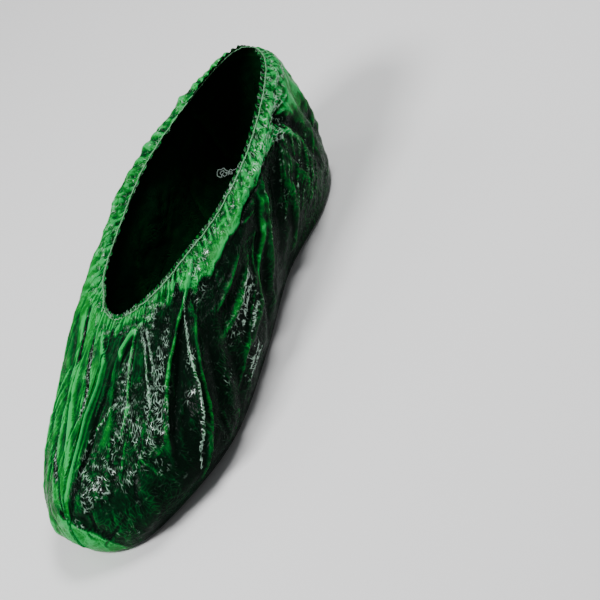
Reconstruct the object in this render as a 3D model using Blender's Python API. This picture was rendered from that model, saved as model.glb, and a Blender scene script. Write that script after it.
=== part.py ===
"""Disposable shoe cover of thin crinkled film, in the form that it has when it is worn.

The cover is a one-piece film pouch, gathered round its opening by a loop of thin elastic.
Toe towards -Y, heel towards +Y, the outer side of the foot towards +X, +Z up. It rests on
its sole, and the origin lies under the middle of its box. Lengths are in metres.
"""

from collections import namedtuple
from math import cos, pi, sin, sqrt

import bpy
from mathutils import Vector

# Overall form of the worn cover
COVER_LENGTH = 0.321
COVER_WIDTH = 0.121
HEEL_HEIGHT = 0.095
TOE_SPRING = 0.0012
SOLE_EDGE_RADIUS = 0.003

# Film
FILM_WALL = 0.0012
FRILL_HEIGHT = 0.0036
FRILL_WAVE = 0.0011
GATHER_SLOPE = 0.30  # half height of a gather for the distance between its crest and trough
FOLD_RISE = 0.0048
FOLD_HALF_WIDTH = 0.0085

# Elastic and seam
ELASTIC_DIAMETER = 0.0012
ELASTIC_CLEARANCE = 0.0003
SEAM_THICKNESS = 0.0008
SEAM_HEIGHT = 0.0016
SEAM_CLEARANCE = 0.0003

# Fineness of the surfaces
COLUMNS_PER_SPAN = 8
ELASTIC_SIDES = 6

# The film runs up a meridian from the edge of the sole to the elastic. x is a share of
# COVER_WIDTH, y of COVER_LENGTH and z of HEEL_HEIGHT.
Meridian = namedtuple("Meridian", "place foot belly shoulder upper rim")
MERIDIANS = (
    Meridian("toe", (-0.071, -0.484, 0), (-0.086, -0.493, 0.19), (-0.081, -0.453, 0.44),
             (-0.057, -0.312, 0.63), (-0.005, -0.151, 0.80)),
    Meridian("toe_outer", (0.169, -0.461, 0), (0.210, -0.462, 0.18), (0.168, -0.411, 0.44),
             (0.099, -0.287, 0.63), (0.108, -0.134, 0.82)),
    Meridian("ball_outer_front", (0.334, -0.354, 0), (0.427, -0.360, 0.19),
             (0.347, -0.331, 0.44), (0.239, -0.243, 0.61), (0.201, -0.087, 0.83)),
    Meridian("ball_outer", (0.421, -0.222, 0), (0.501, -0.228, 0.20), (0.446, -0.200, 0.47),
             (0.362, -0.141, 0.63), (0.248, -0.016, 0.82)),
    Meridian("waist_outer", (0.367, -0.037, 0), (0.450, -0.032, 0.23), (0.421, -0.016, 0.52),
             (0.388, 0.025, 0.67), (0.285, 0.097, 0.785)),
    Meridian("side_outer", (0.272, 0.152, 0), (0.381, 0.159, 0.28), (0.380, 0.168, 0.55),
             (0.368, 0.189, 0.72), (0.308, 0.227, 0.82)),
    Meridian("heel_outer", (0.296, 0.317, 0), (0.346, 0.328, 0.31), (0.345, 0.340, 0.59),
             (0.337, 0.353, 0.80), (0.298, 0.354, 0.91)),
    Meridian("heel_outer_back", (0.208, 0.424, 0), (0.237, 0.447, 0.31), (0.235, 0.465, 0.61),
             (0.243, 0.467, 0.86), (0.225, 0.444, 0.97)),
    Meridian("heel", (0.010, 0.462, 0), (-0.010, 0.491, 0.30), (-0.003, 0.507, 0.61),
             (0.019, 0.499, 0.89), (0.060, 0.474, 1.00)),
    Meridian("heel_inner_back", (-0.210, 0.433, 0), (-0.268, 0.454, 0.30),
             (-0.241, 0.466, 0.61), (-0.209, 0.458, 0.84), (-0.111, 0.437, 0.945)),
    Meridian("heel_inner", (-0.292, 0.330, 0), (-0.356, 0.333, 0.30), (-0.338, 0.341, 0.59),
             (-0.342, 0.343, 0.82), (-0.235, 0.347, 0.885)),
    Meridian("side_inner", (-0.281, 0.163, 0), (-0.364, 0.162, 0.29), (-0.359, 0.169, 0.58),
             (-0.405, 0.187, 0.82), (-0.325, 0.215, 0.84)),
    Meridian("waist_inner", (-0.315, -0.036, 0), (-0.413, -0.031, 0.27),
             (-0.403, -0.014, 0.57), (-0.400, 0.021, 0.76), (-0.323, 0.079, 0.785)),
    Meridian("ball_inner", (-0.413, -0.223, 0), (-0.491, -0.225, 0.23), (-0.424, -0.196, 0.50),
             (-0.369, -0.137, 0.70), (-0.260, -0.033, 0.78)),
    Meridian("ball_inner_front", (-0.383, -0.355, 0), (-0.444, -0.366, 0.19),
             (-0.377, -0.338, 0.45), (-0.262, -0.247, 0.64), (-0.175, -0.089, 0.785)),
    Meridian("toe_inner", (-0.262, -0.441, 0), (-0.303, -0.460, 0.18), (-0.257, -0.417, 0.43),
             (-0.177, -0.299, 0.625), (-0.098, -0.130, 0.81)),
)
SPANS = len(MERIDIANS)
COLUMNS = SPANS * COLUMNS_PER_SPAN

# Levels on a meridian: 0 is the foot, 1 the belly, 2 the shoulder, 3 the upper, 4 the rim
RIM_LEVEL = 4.0
WALL_LEVELS = (0.0, 0.05, 0.18, 0.42, 0.7, 1.0, 1.3, 1.6, 1.9, 2.2, 2.5, 2.8, 3.1, 3.38,
               3.62, 3.82, 4.0)
SEAM_LEVELS = WALL_LEVELS[3:-1]
FRILL_STEPS = (0.5, 1.0)
SPRING_START = -0.20  # share of COVER_LENGTH

# A fold runs through three places, each (meridian number, level). Its half width is a share
# of FOLD_HALF_WIDTH, and its rise of FOLD_RISE: a groove or a dent has a negative rise.
Fold = namedtuple("Fold", "place start middle end half_width rise")
FOLDS = (
    Fold("heel dent", (5.80, 2.60), (5.95, 2.80), (6.15, 3.00), 1.7, -1.70),
    Fold("lip over the heel dent", (5.35, 3.30), (6.00, 3.50), (6.80, 3.30), 1.1, 0.80),
    Fold("heel fold", (6.35, 0.60), (6.30, 1.60), (6.20, 2.40), 0.8, -0.60),
    Fold("heel fold behind", (6.85, 0.70), (6.75, 1.70), (6.60, 2.60), 0.8, -0.50),
    Fold("heel ridge", (5.85, 0.80), (5.75, 1.50), (5.65, 2.30), 0.8, 0.55),
    Fold("long side ridge", (4.50, 1.20), (4.90, 2.00), (5.15, 3.10), 1.0, 0.95),
    Fold("side groove", (4.75, 1.00), (5.25, 1.80), (5.45, 2.70), 0.9, -0.80),
    Fold("band edge, side", (5.20, 2.85), (4.80, 3.05), (4.30, 3.15), 0.8, -0.55),
    Fold("arch wrinkle, low", (3.50, 1.35), (3.90, 1.25), (4.25, 1.35), 0.8, 0.50),
    Fold("arch wrinkle, middle", (3.45, 1.95), (3.85, 1.85), (4.30, 2.00), 0.8, 0.60),
    Fold("arch wrinkle, high", (3.50, 2.55), (3.85, 2.45), (4.20, 2.60), 0.8, 0.50),
    Fold("outer toe ridge", (2.25, 0.80), (2.75, 2.00), (2.98, 3.30), 1.0, 1.00),
    Fold("outer toe groove", (2.60, 0.90), (3.15, 2.00), (3.30, 3.10), 0.9, -0.70),
    Fold("middle toe ridge", (1.95, 1.70), (2.25, 2.50), (2.55, 3.40), 0.9, 0.85),
    Fold("middle toe groove", (2.10, 1.30), (2.50, 2.20), (2.80, 3.20), 0.8, -0.60),
    Fold("inner toe ridge", (1.80, 1.80), (1.90, 2.80), (1.75, 3.60), 0.9, 0.75),
    Fold("vamp groove", (1.45, 1.90), (1.45, 2.80), (1.20, 3.60), 0.9, -0.80),
    Fold("vamp ridge", (0.80, 1.80), (0.90, 2.80), (0.60, 3.70), 0.9, 0.70),
    Fold("seam groove", (0.40, 1.60), (0.38, 2.60), (0.30, 3.40), 0.7, -0.50),
    Fold("toe cap crease", (15.60, 1.75), (16.30, 1.50), (16.75, 0.50), 0.9, -0.45),
    Fold("long inner ridge", (15.60, 1.90), (14.80, 3.00), (13.40, 3.55), 1.0, 0.60),
    Fold("long inner groove", (15.20, 1.80), (14.40, 2.80), (13.10, 3.25), 0.9, -0.80),
    Fold("inner side ridge", (15.00, 1.40), (13.80, 2.40), (12.40, 3.05), 1.1, 0.45),
    Fold("inner side groove", (14.60, 1.10), (13.20, 1.90), (12.00, 2.50), 1.0, -0.60),
    Fold("waist ridge", (12.80, 1.20), (12.10, 2.00), (11.40, 2.90), 1.0, 0.50),
    Fold("inner heel groove", (11.20, 1.00), (10.90, 2.00), (10.70, 3.00), 0.9, -0.55),
    Fold("inner heel dent", (9.90, 2.60), (10.10, 2.80), (10.30, 2.95), 1.4, -0.90),
    Fold("inner heel ridge", (9.40, 0.80), (9.50, 1.70), (9.60, 2.60), 0.9, 0.60),
    Fold("back of heel groove", (8.30, 0.90), (8.40, 1.80), (8.30, 2.70), 0.9, -0.55),
    Fold("back of heel ridge", (7.55, 0.90), (7.60, 1.90), (7.70, 2.80), 0.9, 0.50),
    Fold("heel corner fold", (7.20, 0.45), (7.10, 1.40), (7.00, 2.30), 0.8, 0.50),
    Fold("low side fold", (5.00, 0.40), (5.35, 1.20), (5.50, 2.00), 0.9, 0.60),
    Fold("low waist fold", (4.05, 0.40), (4.30, 1.20), (4.55, 2.30), 0.8, -0.60),
    Fold("outer ball groove", (3.05, 0.50), (3.35, 1.30), (3.60, 2.50), 0.9, -0.60),
    Fold("outer toe fold", (1.20, 0.60), (1.30, 1.20), (1.40, 1.80), 0.9, 0.45),
    Fold("inner toe fold", (15.20, 0.60), (15.30, 1.20), (15.10, 1.70), 0.9, 0.40),
    Fold("inner ball groove", (13.60, 0.45), (13.10, 1.20), (12.80, 2.00), 0.9, -0.50),
    Fold("inner waist fold", (12.40, 0.40), (11.90, 1.10), (11.60, 1.90), 0.9, -0.55),
    Fold("low inner heel fold", (10.40, 0.45), (10.20, 1.30), (10.10, 2.10), 0.9, 0.60),
)
MERIDIAN_SPACING = 0.118  # share of COVER_LENGTH between two meridians, for a fold's width
LEVEL_SPACING = 0.270  # share of HEEL_HEIGHT between two levels
PATH_STEPS = 10


def smooth_step(value):
    """0 below 0 and 1 above 1, with an even ramp between."""
    held = min(max(value, 0.0), 1.0)
    return held * held * (3 - 2 * held)


def spline(before, start, end, after, share):
    """Catmull-Rom curve between start and end."""
    return 0.5 * (
        2 * start
        + (end - before) * share
        + (2 * before - 5 * start + 4 * end - after) * share**2
        + (3 * start - before - 3 * end + after) * share**3
    )


def scaled(shares):
    """A point of the table in metres."""
    return Vector((shares[0] * COVER_WIDTH, shares[1] * COVER_LENGTH, shares[2] * HEEL_HEIGHT))


def station_points(station):
    """The five points of the meridian at a station, which counts meridians from the toe."""
    whole = int(station // 1)
    share = station - whole
    rows = [MERIDIANS[(whole + step) % SPANS][1:] for step in (-1, 0, 1, 2)]
    return [spline(*(scaled(row[level]) for row in rows), share) for level in range(5)]


def base_point(station, level):
    """A point of the plain form, before its gathers and folds."""
    points = station_points(station)
    points = [2 * points[0] - points[1], *points, 2 * points[-1] - points[-2]]
    span = min(int(level), 3)
    point = spline(*points[span:span + 4], level - span)
    return rounded_edge(point, points[1])


def rounded_edge(point, foot):
    """The point drawn in round the sole's edge and lifted with the toe."""
    height = max(point.z, 0.0)
    if height < SOLE_EDGE_RADIUS:
        drop = SOLE_EDGE_RADIUS - height
        draw = SOLE_EDGE_RADIUS - sqrt(SOLE_EDGE_RADIUS**2 - drop**2)
        middle = Vector((0, 0.6 * foot.y, 0))
        inward = (middle - foot).normalized()
        point = Vector((point.x, point.y, height)) + inward * draw
    start = SPRING_START * COVER_LENGTH
    reach = max(start - point.y, 0.0) / (0.5 * COVER_LENGTH + start)
    return point + Vector((0, 0, TOE_SPRING * reach**2))


def base_normal(station, level):
    """The outward direction of the plain form."""
    across = base_point(station + 0.02, level) - base_point(station - 0.02, level)
    low, high = max(level - 0.02, 0.0), min(level + 0.02, RIM_LEVEL)
    along = base_point(station, high) - base_point(station, low)
    return across.cross(along).normalized()


def fold_paths():
    """Each fold as points along its length, in metres of station and of level."""
    paths = []
    for fold in FOLDS:
        path = []
        for step in range(PATH_STEPS + 1):
            share = step / PATH_STEPS
            weights = ((1 - share) ** 2, 2 * share * (1 - share), share**2)
            bend = tuple(2 * m - 0.5 * (s + e) for s, m, e in zip(fold.start, fold.middle, fold.end))
            places = (fold.start, bend, fold.end)
            station = sum(w * p[0] for w, p in zip(weights, places))
            level = sum(w * p[1] for w, p in zip(weights, places))
            path.append((station, level, sin(pi * (0.08 + 0.84 * share))))
        paths.append((fold, path))
    return paths


PATHS = fold_paths()


def fold_rise(station, level):
    """How far the folds lift the film off the plain form."""
    across = MERIDIAN_SPACING * COVER_LENGTH * (1 - 0.09 * level)
    along = LEVEL_SPACING * HEEL_HEIGHT
    rise = 0.0
    for fold, path in PATHS:
        nearest, strength = 1.0, 0.0
        for path_station, path_level, path_strength in path:
            turn = (station - path_station + SPANS / 2) % SPANS - SPANS / 2
            apart = sqrt((turn * across) ** 2 + ((level - path_level) * along) ** 2)
            apart /= fold.half_width * FOLD_HALF_WIDTH
            if apart < nearest:
                nearest, strength = apart, path_strength
        rise += FOLD_RISE * fold.rise * strength * 0.5 * (1 + cos(pi * nearest))
    return rise


def gather_depth(station, level):
    """How deep the gathers are under the elastic: none at the elastic, and none lower down."""
    beside = base_point(station + 1 / COLUMNS_PER_SPAN, RIM_LEVEL)
    apart = (beside - base_point(station, RIM_LEVEL)).length
    lowest = 2.5 + 0.35 * sin(station * 2.3) * sin(station * 0.9 + 1.0)
    rising = smooth_step((level - lowest) / 1.0)
    pinched = 1 - smooth_step((level - 3.72) / 0.28)
    return GATHER_SLOPE * apart * rising * pinched * (0.8 + 0.2 * sin(station * 5.1 + 0.6))


def lift(column, level):
    """How far the film stands off the plain form at a column of the mesh."""
    station = column / COLUMNS_PER_SPAN
    crest = 1 if column % 2 == 0 else -1
    settled = smooth_step((level - 0.18) / 0.5) * (1 - smooth_step((level - 3.55) / 0.35))
    return crest * gather_depth(station, level) + settled * fold_rise(station, level)


def frill_point(column, share):
    """A point of the ruffled edge above the elastic, and the direction out of the film."""
    station = column / COLUMNS_PER_SPAN
    rim = base_point(station, RIM_LEVEL)
    outward = base_normal(station, RIM_LEVEL)
    rise = (rim - base_point(station, RIM_LEVEL - 0.05)).normalized()
    crest = 1 if column % 2 == 0 else -1
    height = FRILL_HEIGHT * share * (1 + 0.18 * sin(column * 1.9))
    wave = FRILL_WAVE * crest * share**2 * (0.8 + 0.2 * sin(column * 0.83))
    flare = FRILL_HEIGHT * 0.3 * share**2
    return rim + rise * height + outward * wave + Vector((0, 0, flare)), outward


def film_grid():
    """Rows of the film's outer and inner face, from the sole's edge to the ruffled edge."""
    outer, inner = [], []
    for level in WALL_LEVELS:
        outer.append([])
        inner.append([])
        for column in range(COLUMNS):
            station = column / COLUMNS_PER_SPAN
            normal = base_normal(station, level)
            if level == 0.0:
                normal = Vector((0, 0, -1))
            point = base_point(station, level) + normal * lift(column, level)
            outer[-1].append(point)
            inner[-1].append(point - normal * FILM_WALL)
    for share in FRILL_STEPS:
        pairs = [frill_point(column, share) for column in range(COLUMNS)]
        outer.append([point for point, _ in pairs])
        inner.append([point - outward * FILM_WALL for point, outward in pairs])
    return outer, inner


def wall_faces(rows, first, flip):
    """Quads between neighbouring rows of a face, and the quads that close its sole."""
    faces = []
    for row in range(rows - 1):
        for column in range(COLUMNS):
            beside = (column + 1) % COLUMNS
            low, high = first + row * COLUMNS, first + (row + 1) * COLUMNS
            faces.append((low + column, low + beside, high + beside, high + column))
    for column in range(1, COLUMNS // 2 - 1):
        left, right = COLUMNS - column, COLUMNS - column - 1
        faces.append((first + column + 1, first + column, first + left, first + right))
    faces.append((first + 1, first, first + COLUMNS - 1))
    half = COLUMNS // 2
    faces.append((first + half, first + half - 1, first + half + 1))
    return [tuple(reversed(face)) for face in faces] if flip else faces


def new_object(name, points, faces):
    """A mesh object of these points and faces."""
    mesh = bpy.data.meshes.new(name)
    mesh.from_pydata([tuple(point) for point in points], [], faces)
    mesh.validate()
    made = bpy.data.objects.new(name, mesh)
    bpy.context.scene.collection.objects.link(made)
    return made


def film_cover(outer, inner, shift):
    """The pouch: outer face, inner face and the edge between them."""
    rows = len(outer)
    points = [point + shift for row in outer + inner for point in row]
    second = rows * COLUMNS
    faces = wall_faces(rows, 0, False) + wall_faces(rows, second, True)
    for column in range(COLUMNS):
        beside = (column + 1) % COLUMNS
        top, under = (rows - 1) * COLUMNS, second + (rows - 1) * COLUMNS
        faces.append((top + column, top + beside, under + beside, under + column))
    return new_object("film_cover", points, faces)


def elastic_thread(shift):
    """The loop of elastic that lies round the film just under the ruffled edge."""
    stand_off = ELASTIC_DIAMETER / 2 + ELASTIC_CLEARANCE
    stations = [column / COLUMNS_PER_SPAN for column in range(COLUMNS)]
    normals = [base_normal(station, RIM_LEVEL) for station in stations]
    centres = [
        base_point(station, RIM_LEVEL) + normal * stand_off + shift
        for station, normal in zip(stations, normals)
    ]
    points, faces = [], []
    for column, (centre, normal) in enumerate(zip(centres, normals)):
        along = (centres[(column + 1) % COLUMNS] - centres[column - 1]).normalized()
        side = along.cross(normal).normalized()
        up = side.cross(along)
        for step in range(ELASTIC_SIDES):
            angle = 2 * pi * (step + 0.5) / ELASTIC_SIDES
            arm = side * cos(angle) + up * sin(angle)
            points.append(centre + arm * (ELASTIC_DIAMETER / 2))
    for column in range(COLUMNS):
        here, there = column * ELASTIC_SIDES, (column + 1) % COLUMNS * ELASTIC_SIDES
        for step in range(ELASTIC_SIDES):
            turn = (step + 1) % ELASTIC_SIDES
            faces.append((here + turn, here + step, there + step, there + turn))
    return new_object("elastic_thread", points, faces)


def toe_seam(shift):
    """The welded fin that runs down the middle of the toe, on a crest of the film."""
    points, faces = [], []
    for level in SEAM_LEVELS:
        normal = base_normal(0.0, level)
        across = base_point(0.02, level) - base_point(-0.02, level)
        side = (across - normal * across.dot(normal)).normalized() * (SEAM_THICKNESS / 2)
        foot = base_point(0.0, level) + normal * (lift(0, level) + SEAM_CLEARANCE) + shift
        top = foot + normal * SEAM_HEIGHT
        points += [foot - side, foot + side, top + side, top - side]
    for row in range(len(SEAM_LEVELS) - 1):
        low, high = row * 4, row * 4 + 4
        for step in range(4):
            turn = (step + 1) % 4
            faces.append((low + turn, low + step, high + step, high + turn))
    last = (len(SEAM_LEVELS) - 1) * 4
    faces += [(0, 1, 2, 3), (last + 3, last + 2, last + 1, last)]
    return new_object("toe_seam", points, faces)


def clear_scene():
    """Takes out whatever the scene starts with."""
    for found in list(bpy.data.objects):
        bpy.data.objects.remove(found, do_unlink=True)


def centring(points):
    """The shift that brings the middle of the box's base to the origin."""
    low = [min(point[axis] for point in points) for axis in range(3)]
    high = [max(point[axis] for point in points) for axis in range(3)]
    return Vector((-(low[0] + high[0]) / 2, -(low[1] + high[1]) / 2, -low[2]))


def main():
    clear_scene()
    outer, inner = film_grid()
    seam_top = [
        base_point(0.0, level)
        + base_normal(0.0, level) * (lift(0, level) + SEAM_CLEARANCE + SEAM_HEIGHT)
        for level in SEAM_LEVELS
    ]
    shift = centring([point for row in outer for point in row] + seam_top)
    film_cover(outer, inner, shift)
    elastic_thread(shift)
    toe_seam(shift)


main()
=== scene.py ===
"""Looks of the shoe cover: thin crinkled film, gathered round its opening by an elastic."""

import logging
from collections.abc import Iterator
from contextlib import contextmanager
from dataclasses import dataclass, field
from enum import Enum
from functools import cache

import bmesh
import bpy
import numpy as np
from mathutils import Matrix, Vector

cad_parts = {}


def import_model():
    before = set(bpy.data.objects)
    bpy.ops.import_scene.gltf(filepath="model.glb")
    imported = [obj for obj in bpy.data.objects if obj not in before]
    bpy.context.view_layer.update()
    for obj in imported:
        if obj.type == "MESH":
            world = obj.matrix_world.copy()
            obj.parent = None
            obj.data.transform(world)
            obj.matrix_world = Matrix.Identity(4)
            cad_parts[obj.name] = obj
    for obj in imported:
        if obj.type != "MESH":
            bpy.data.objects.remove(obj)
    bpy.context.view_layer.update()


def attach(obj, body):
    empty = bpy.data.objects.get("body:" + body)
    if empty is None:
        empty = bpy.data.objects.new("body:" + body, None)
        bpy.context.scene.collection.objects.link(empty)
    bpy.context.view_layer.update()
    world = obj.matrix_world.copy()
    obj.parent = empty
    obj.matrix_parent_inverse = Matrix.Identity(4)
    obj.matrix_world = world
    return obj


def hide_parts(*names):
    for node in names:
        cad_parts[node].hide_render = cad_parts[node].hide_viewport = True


LOG = logging.getLogger("shoe_cover")
Array = np.ndarray
Socket = bpy.types.NodeSocket
SEED = 41
MM = 0.001
TURN = 2 * np.pi
# The rough size of one station and one level in millimetres. Stations narrow towards the rim.
STATION_WIDTH, STATION_TAPER, LEVEL_HEIGHT = 37.9, 3.41, 25.6
# How much of the flat film one station takes, in metres
FILM_STATION = 0.034


class Ink(Enum):
    """Named colours, as scene-linear red, green and blue."""

    NIGHT_FILM = (0.0020, 0.0062, 0.0036)
    DEEP_FILM = (0.0016, 0.0200, 0.0065)
    MIDDLE_FILM = (0.0012, 0.0750, 0.0120)
    FREE_FILM = (0.0020, 0.1800, 0.0180)
    PALE_FILM = (0.0200, 0.3750, 0.0850)
    # painted highlight: the pale colour of the glint strokes painted on the film's crinkles
    CREASE = (0.48, 0.76, 0.58)
    ELASTIC = (0.20, 0.50, 0.26)
    # painted shade: the darker grey of the yarn's loose end
    LOOSE = (0.11, 0.145, 0.13)
    CORE = (0.10, 0.26, 0.13)
    FLOOR = (0.86, 0.86, 0.86)
    FLOOR_LOW = (0.84, 0.84, 0.84)

    @property
    def rgba(self) -> tuple[float, float, float, float]:
        """The colour with full opacity, as a node's socket takes it."""
        return (*self.value, 1.0)


# The plain form's meridians, from the toe round by the outer side. Each has five places: foot,
# belly, shoulder, upper and rim. x, y and z are thousandths of the width, length and height.
MERIDIANS = (
    (-71, -489, 0, -86, -499, 190, -81, -460, 440, -57, -312, 630, -5, -151, 800),
    (169, -464, 0, 210, -466, 180, 168, -414, 440, 99, -287, 630, 108, -134, 820),
    (334, -354, 0, 427, -360, 190, 347, -331, 440, 239, -243, 610, 201, -87, 830),
    (421, -222, 0, 501, -228, 200, 446, -200, 470, 362, -141, 630, 248, -16, 820),
    (367, -37, 0, 450, -32, 230, 421, -16, 520, 388, 25, 670, 285, 97, 785),
    (272, 152, 0, 381, 159, 280, 380, 168, 550, 368, 189, 720, 308, 227, 820),
    (296, 317, 0, 346, 328, 310, 345, 340, 590, 337, 353, 800, 298, 354, 910),
    (208, 424, 0, 237, 447, 310, 235, 465, 610, 243, 467, 860, 225, 444, 970),
    (10, 462, 0, -10, 491, 300, -3, 507, 610, 19, 499, 890, 60, 474, 1000),
    (-210, 433, 0, -268, 454, 300, -241, 466, 610, -209, 458, 840, -111, 437, 945),
    (-292, 330, 0, -356, 333, 300, -338, 341, 590, -342, 343, 820, -235, 347, 885),
    (-281, 163, 0, -364, 162, 290, -359, 169, 580, -405, 187, 820, -325, 215, 840),
    (-315, -36, 0, -413, -31, 270, -403, -14, 570, -400, 21, 760, -323, 79, 785),
    (-407, -223, 0, -480, -225, 230, -416, -196, 500, -369, -137, 700, -260, -33, 780),
    (-378, -355, 0, -434, -366, 190, -370, -338, 450, -262, -247, 640, -175, -89, 785),
    (-262, -441, 0, -305, -460, 180, -257, -417, 430, -177, -299, 625, -98, -130, 810),
)
# Stations count the meridians on from 0 at the toe, and levels their places from 0 to the rim's
ROUND = len(MERIDIANS)
RIM = 4.0


@dataclass(frozen=True)
class Fold:
    """A fold of the film through three or more places, by the station and level of each in turn.

    The half width and the rise are in millimetres. free is how much more of the film's own
    bright green the fold shows, because it stands off what lies under it. A pleat is steep on
    one flank, and on the other one where steep is negative. glint is how many fine creases
    along it catch the light.
    """

    path: tuple[float, ...]
    half_width: float
    rise: float
    free: float = 0.0
    steep: float = 0.0
    glint: float = 0.0

    def line(self) -> Array:
        """The path with a smooth bend in it where it has three places.

        Returns:
            Rows of a station and a level.
        """
        given = np.array(self.path).reshape(-1, 2)
        if len(given) != 3:
            return given
        share = np.linspace(0, 1, 9)[:, None]
        bend = 2 * given[1] - 0.5 * (given[0] + given[2])
        return (1 - share) ** 2 * given[0] + 2 * share * (1 - share) * bend + share**2 * given[2]


# The main folds, as the part's own solids have them, softer where finer ones lie over them
MAIN_FOLDS = tuple(Fold(*row) for row in (
    ((5.8, 2.6, 5.95, 2.8, 6.15, 3), 14.5, -7.4, -0.12),
    ((5.35, 3.3, 6, 3.5, 6.8, 3.3), 9.3, 3.2, 0.2),
    ((6.35, 0.6, 6.3, 1.6, 6.2, 2.4), 6.8, -2.9),
    ((6.85, 0.7, 6.75, 1.7, 6.6, 2.6), 6.8, -2.4),
    ((5.85, 0.8, 5.75, 1.5, 5.65, 2.3), 6.8, 2.6, 0.1, 1),
    ((4.5, 1.2, 4.9, 2, 5.15, 3.1), 7.2, 3.4, 0.15, 1),
    ((4.75, 1, 5.25, 1.8, 5.45, 2.7), 7.6, -3.8, -0.2),
    ((5.2, 2.85, 4.8, 3.05, 4.3, 3.15), 6.8, -2.6, -0.2),
    ((3.5, 1.35, 3.9, 1.25, 4.25, 1.35), 6.8, 2.4, 0.15, 1),
    ((3.45, 1.95, 3.85, 1.85, 4.3, 2), 6.8, 2.9, 0.3, 1),
    ((3.5, 2.55, 3.85, 2.45, 4.2, 2.6), 6.8, 2.4, 0.3, 1),
    ((2.25, 0.8, 2.75, 2, 2.98, 3.3), 6.4, 3, 0, 1),
    ((2.6, 0.9, 3.15, 2, 3.3, 3.1), 7.6, -2.2, -0.1),
    ((1.95, 1.7, 2.25, 2.5, 2.55, 3.4), 5.2, 1.6, 0.1, 1),
    ((2.1, 1.3, 2.5, 2.2, 2.8, 3.2), 6.8, -1.6, -0.05),
    ((1.8, 1.8, 1.9, 2.8, 1.75, 3.6), 5, 1.2, 0, -1),
    ((1.45, 1.9, 1.45, 2.8, 1.2, 3.6), 7.6, -1),
    ((0.8, 1.8, 0.9, 2.8, 0.6, 3.7), 5.4, 1.4, 0.05, 1),
    ((0.4, 1.6, 0.38, 2.6, 0.3, 3.4), 6, -1.2),
    ((15.6, 1.75, 16.3, 1.5, 16.75, 0.5), 5, -1),
    ((15.6, 1.9, 14.8, 3, 13.4, 3.55), 7.2, 1.6, 0.1, 1),
    ((15.2, 1.8, 14.4, 2.8, 13.1, 3.25), 5.6, -1.6, -0.1),
    ((15, 1.4, 13.8, 2.4, 12.4, 3.05), 8.3, 1, 0.1, 1),
    ((14.6, 1.1, 13.2, 1.9, 12, 2.5), 6.5, -1.9, -0.25),
    ((12.8, 1.2, 12.1, 2, 11.4, 2.9), 8.5, 2.4, 0.2, 1),
    ((11.2, 1, 10.9, 2, 10.7, 3), 7.6, -2.6, -0.2),
    ((9.9, 2.6, 10.1, 2.8, 10.3, 2.95), 11.9, -4.3, -0.3),
    ((9.4, 0.8, 9.5, 1.7, 9.6, 2.6), 7.6, 2.9, 0.2, 1),
    ((8.3, 0.9, 8.4, 1.8, 8.3, 2.7), 7.6, -2.6, -0.2),
    ((7.55, 0.9, 7.6, 1.9, 7.7, 2.8), 7.6, 2.4, 0.2, -1),
    ((7.2, 0.45, 7.1, 1.4, 7, 2.3), 6.8, 2.4, 0.1, 1),
    ((5, 0.4, 5.35, 1.2, 5.5, 2), 7.6, 2.9, 0.1, -1),
    ((4.05, 0.4, 4.3, 1.2, 4.55, 2.3), 6.8, -2.9),
    ((3.05, 0.5, 3.35, 1.3, 3.6, 2.5), 7.6, -2.9),
    ((1.2, 0.6, 1.3, 1.2, 1.4, 1.8), 7.6, 2.2),
    ((15.2, 0.6, 15.3, 1.2, 15.1, 1.7), 7.6, 1.9, 0.1),
    ((13.6, 0.45, 13.1, 1.2, 12.8, 2), 7.6, -2.4, -0.3),
    ((12.4, 0.4, 11.9, 1.1, 11.6, 1.9), 7.6, -2.6, -0.3),
    ((10.4, 0.45, 10.2, 1.3, 10.1, 2.1), 7.6, 2.9, 0.1, 1),
))

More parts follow.
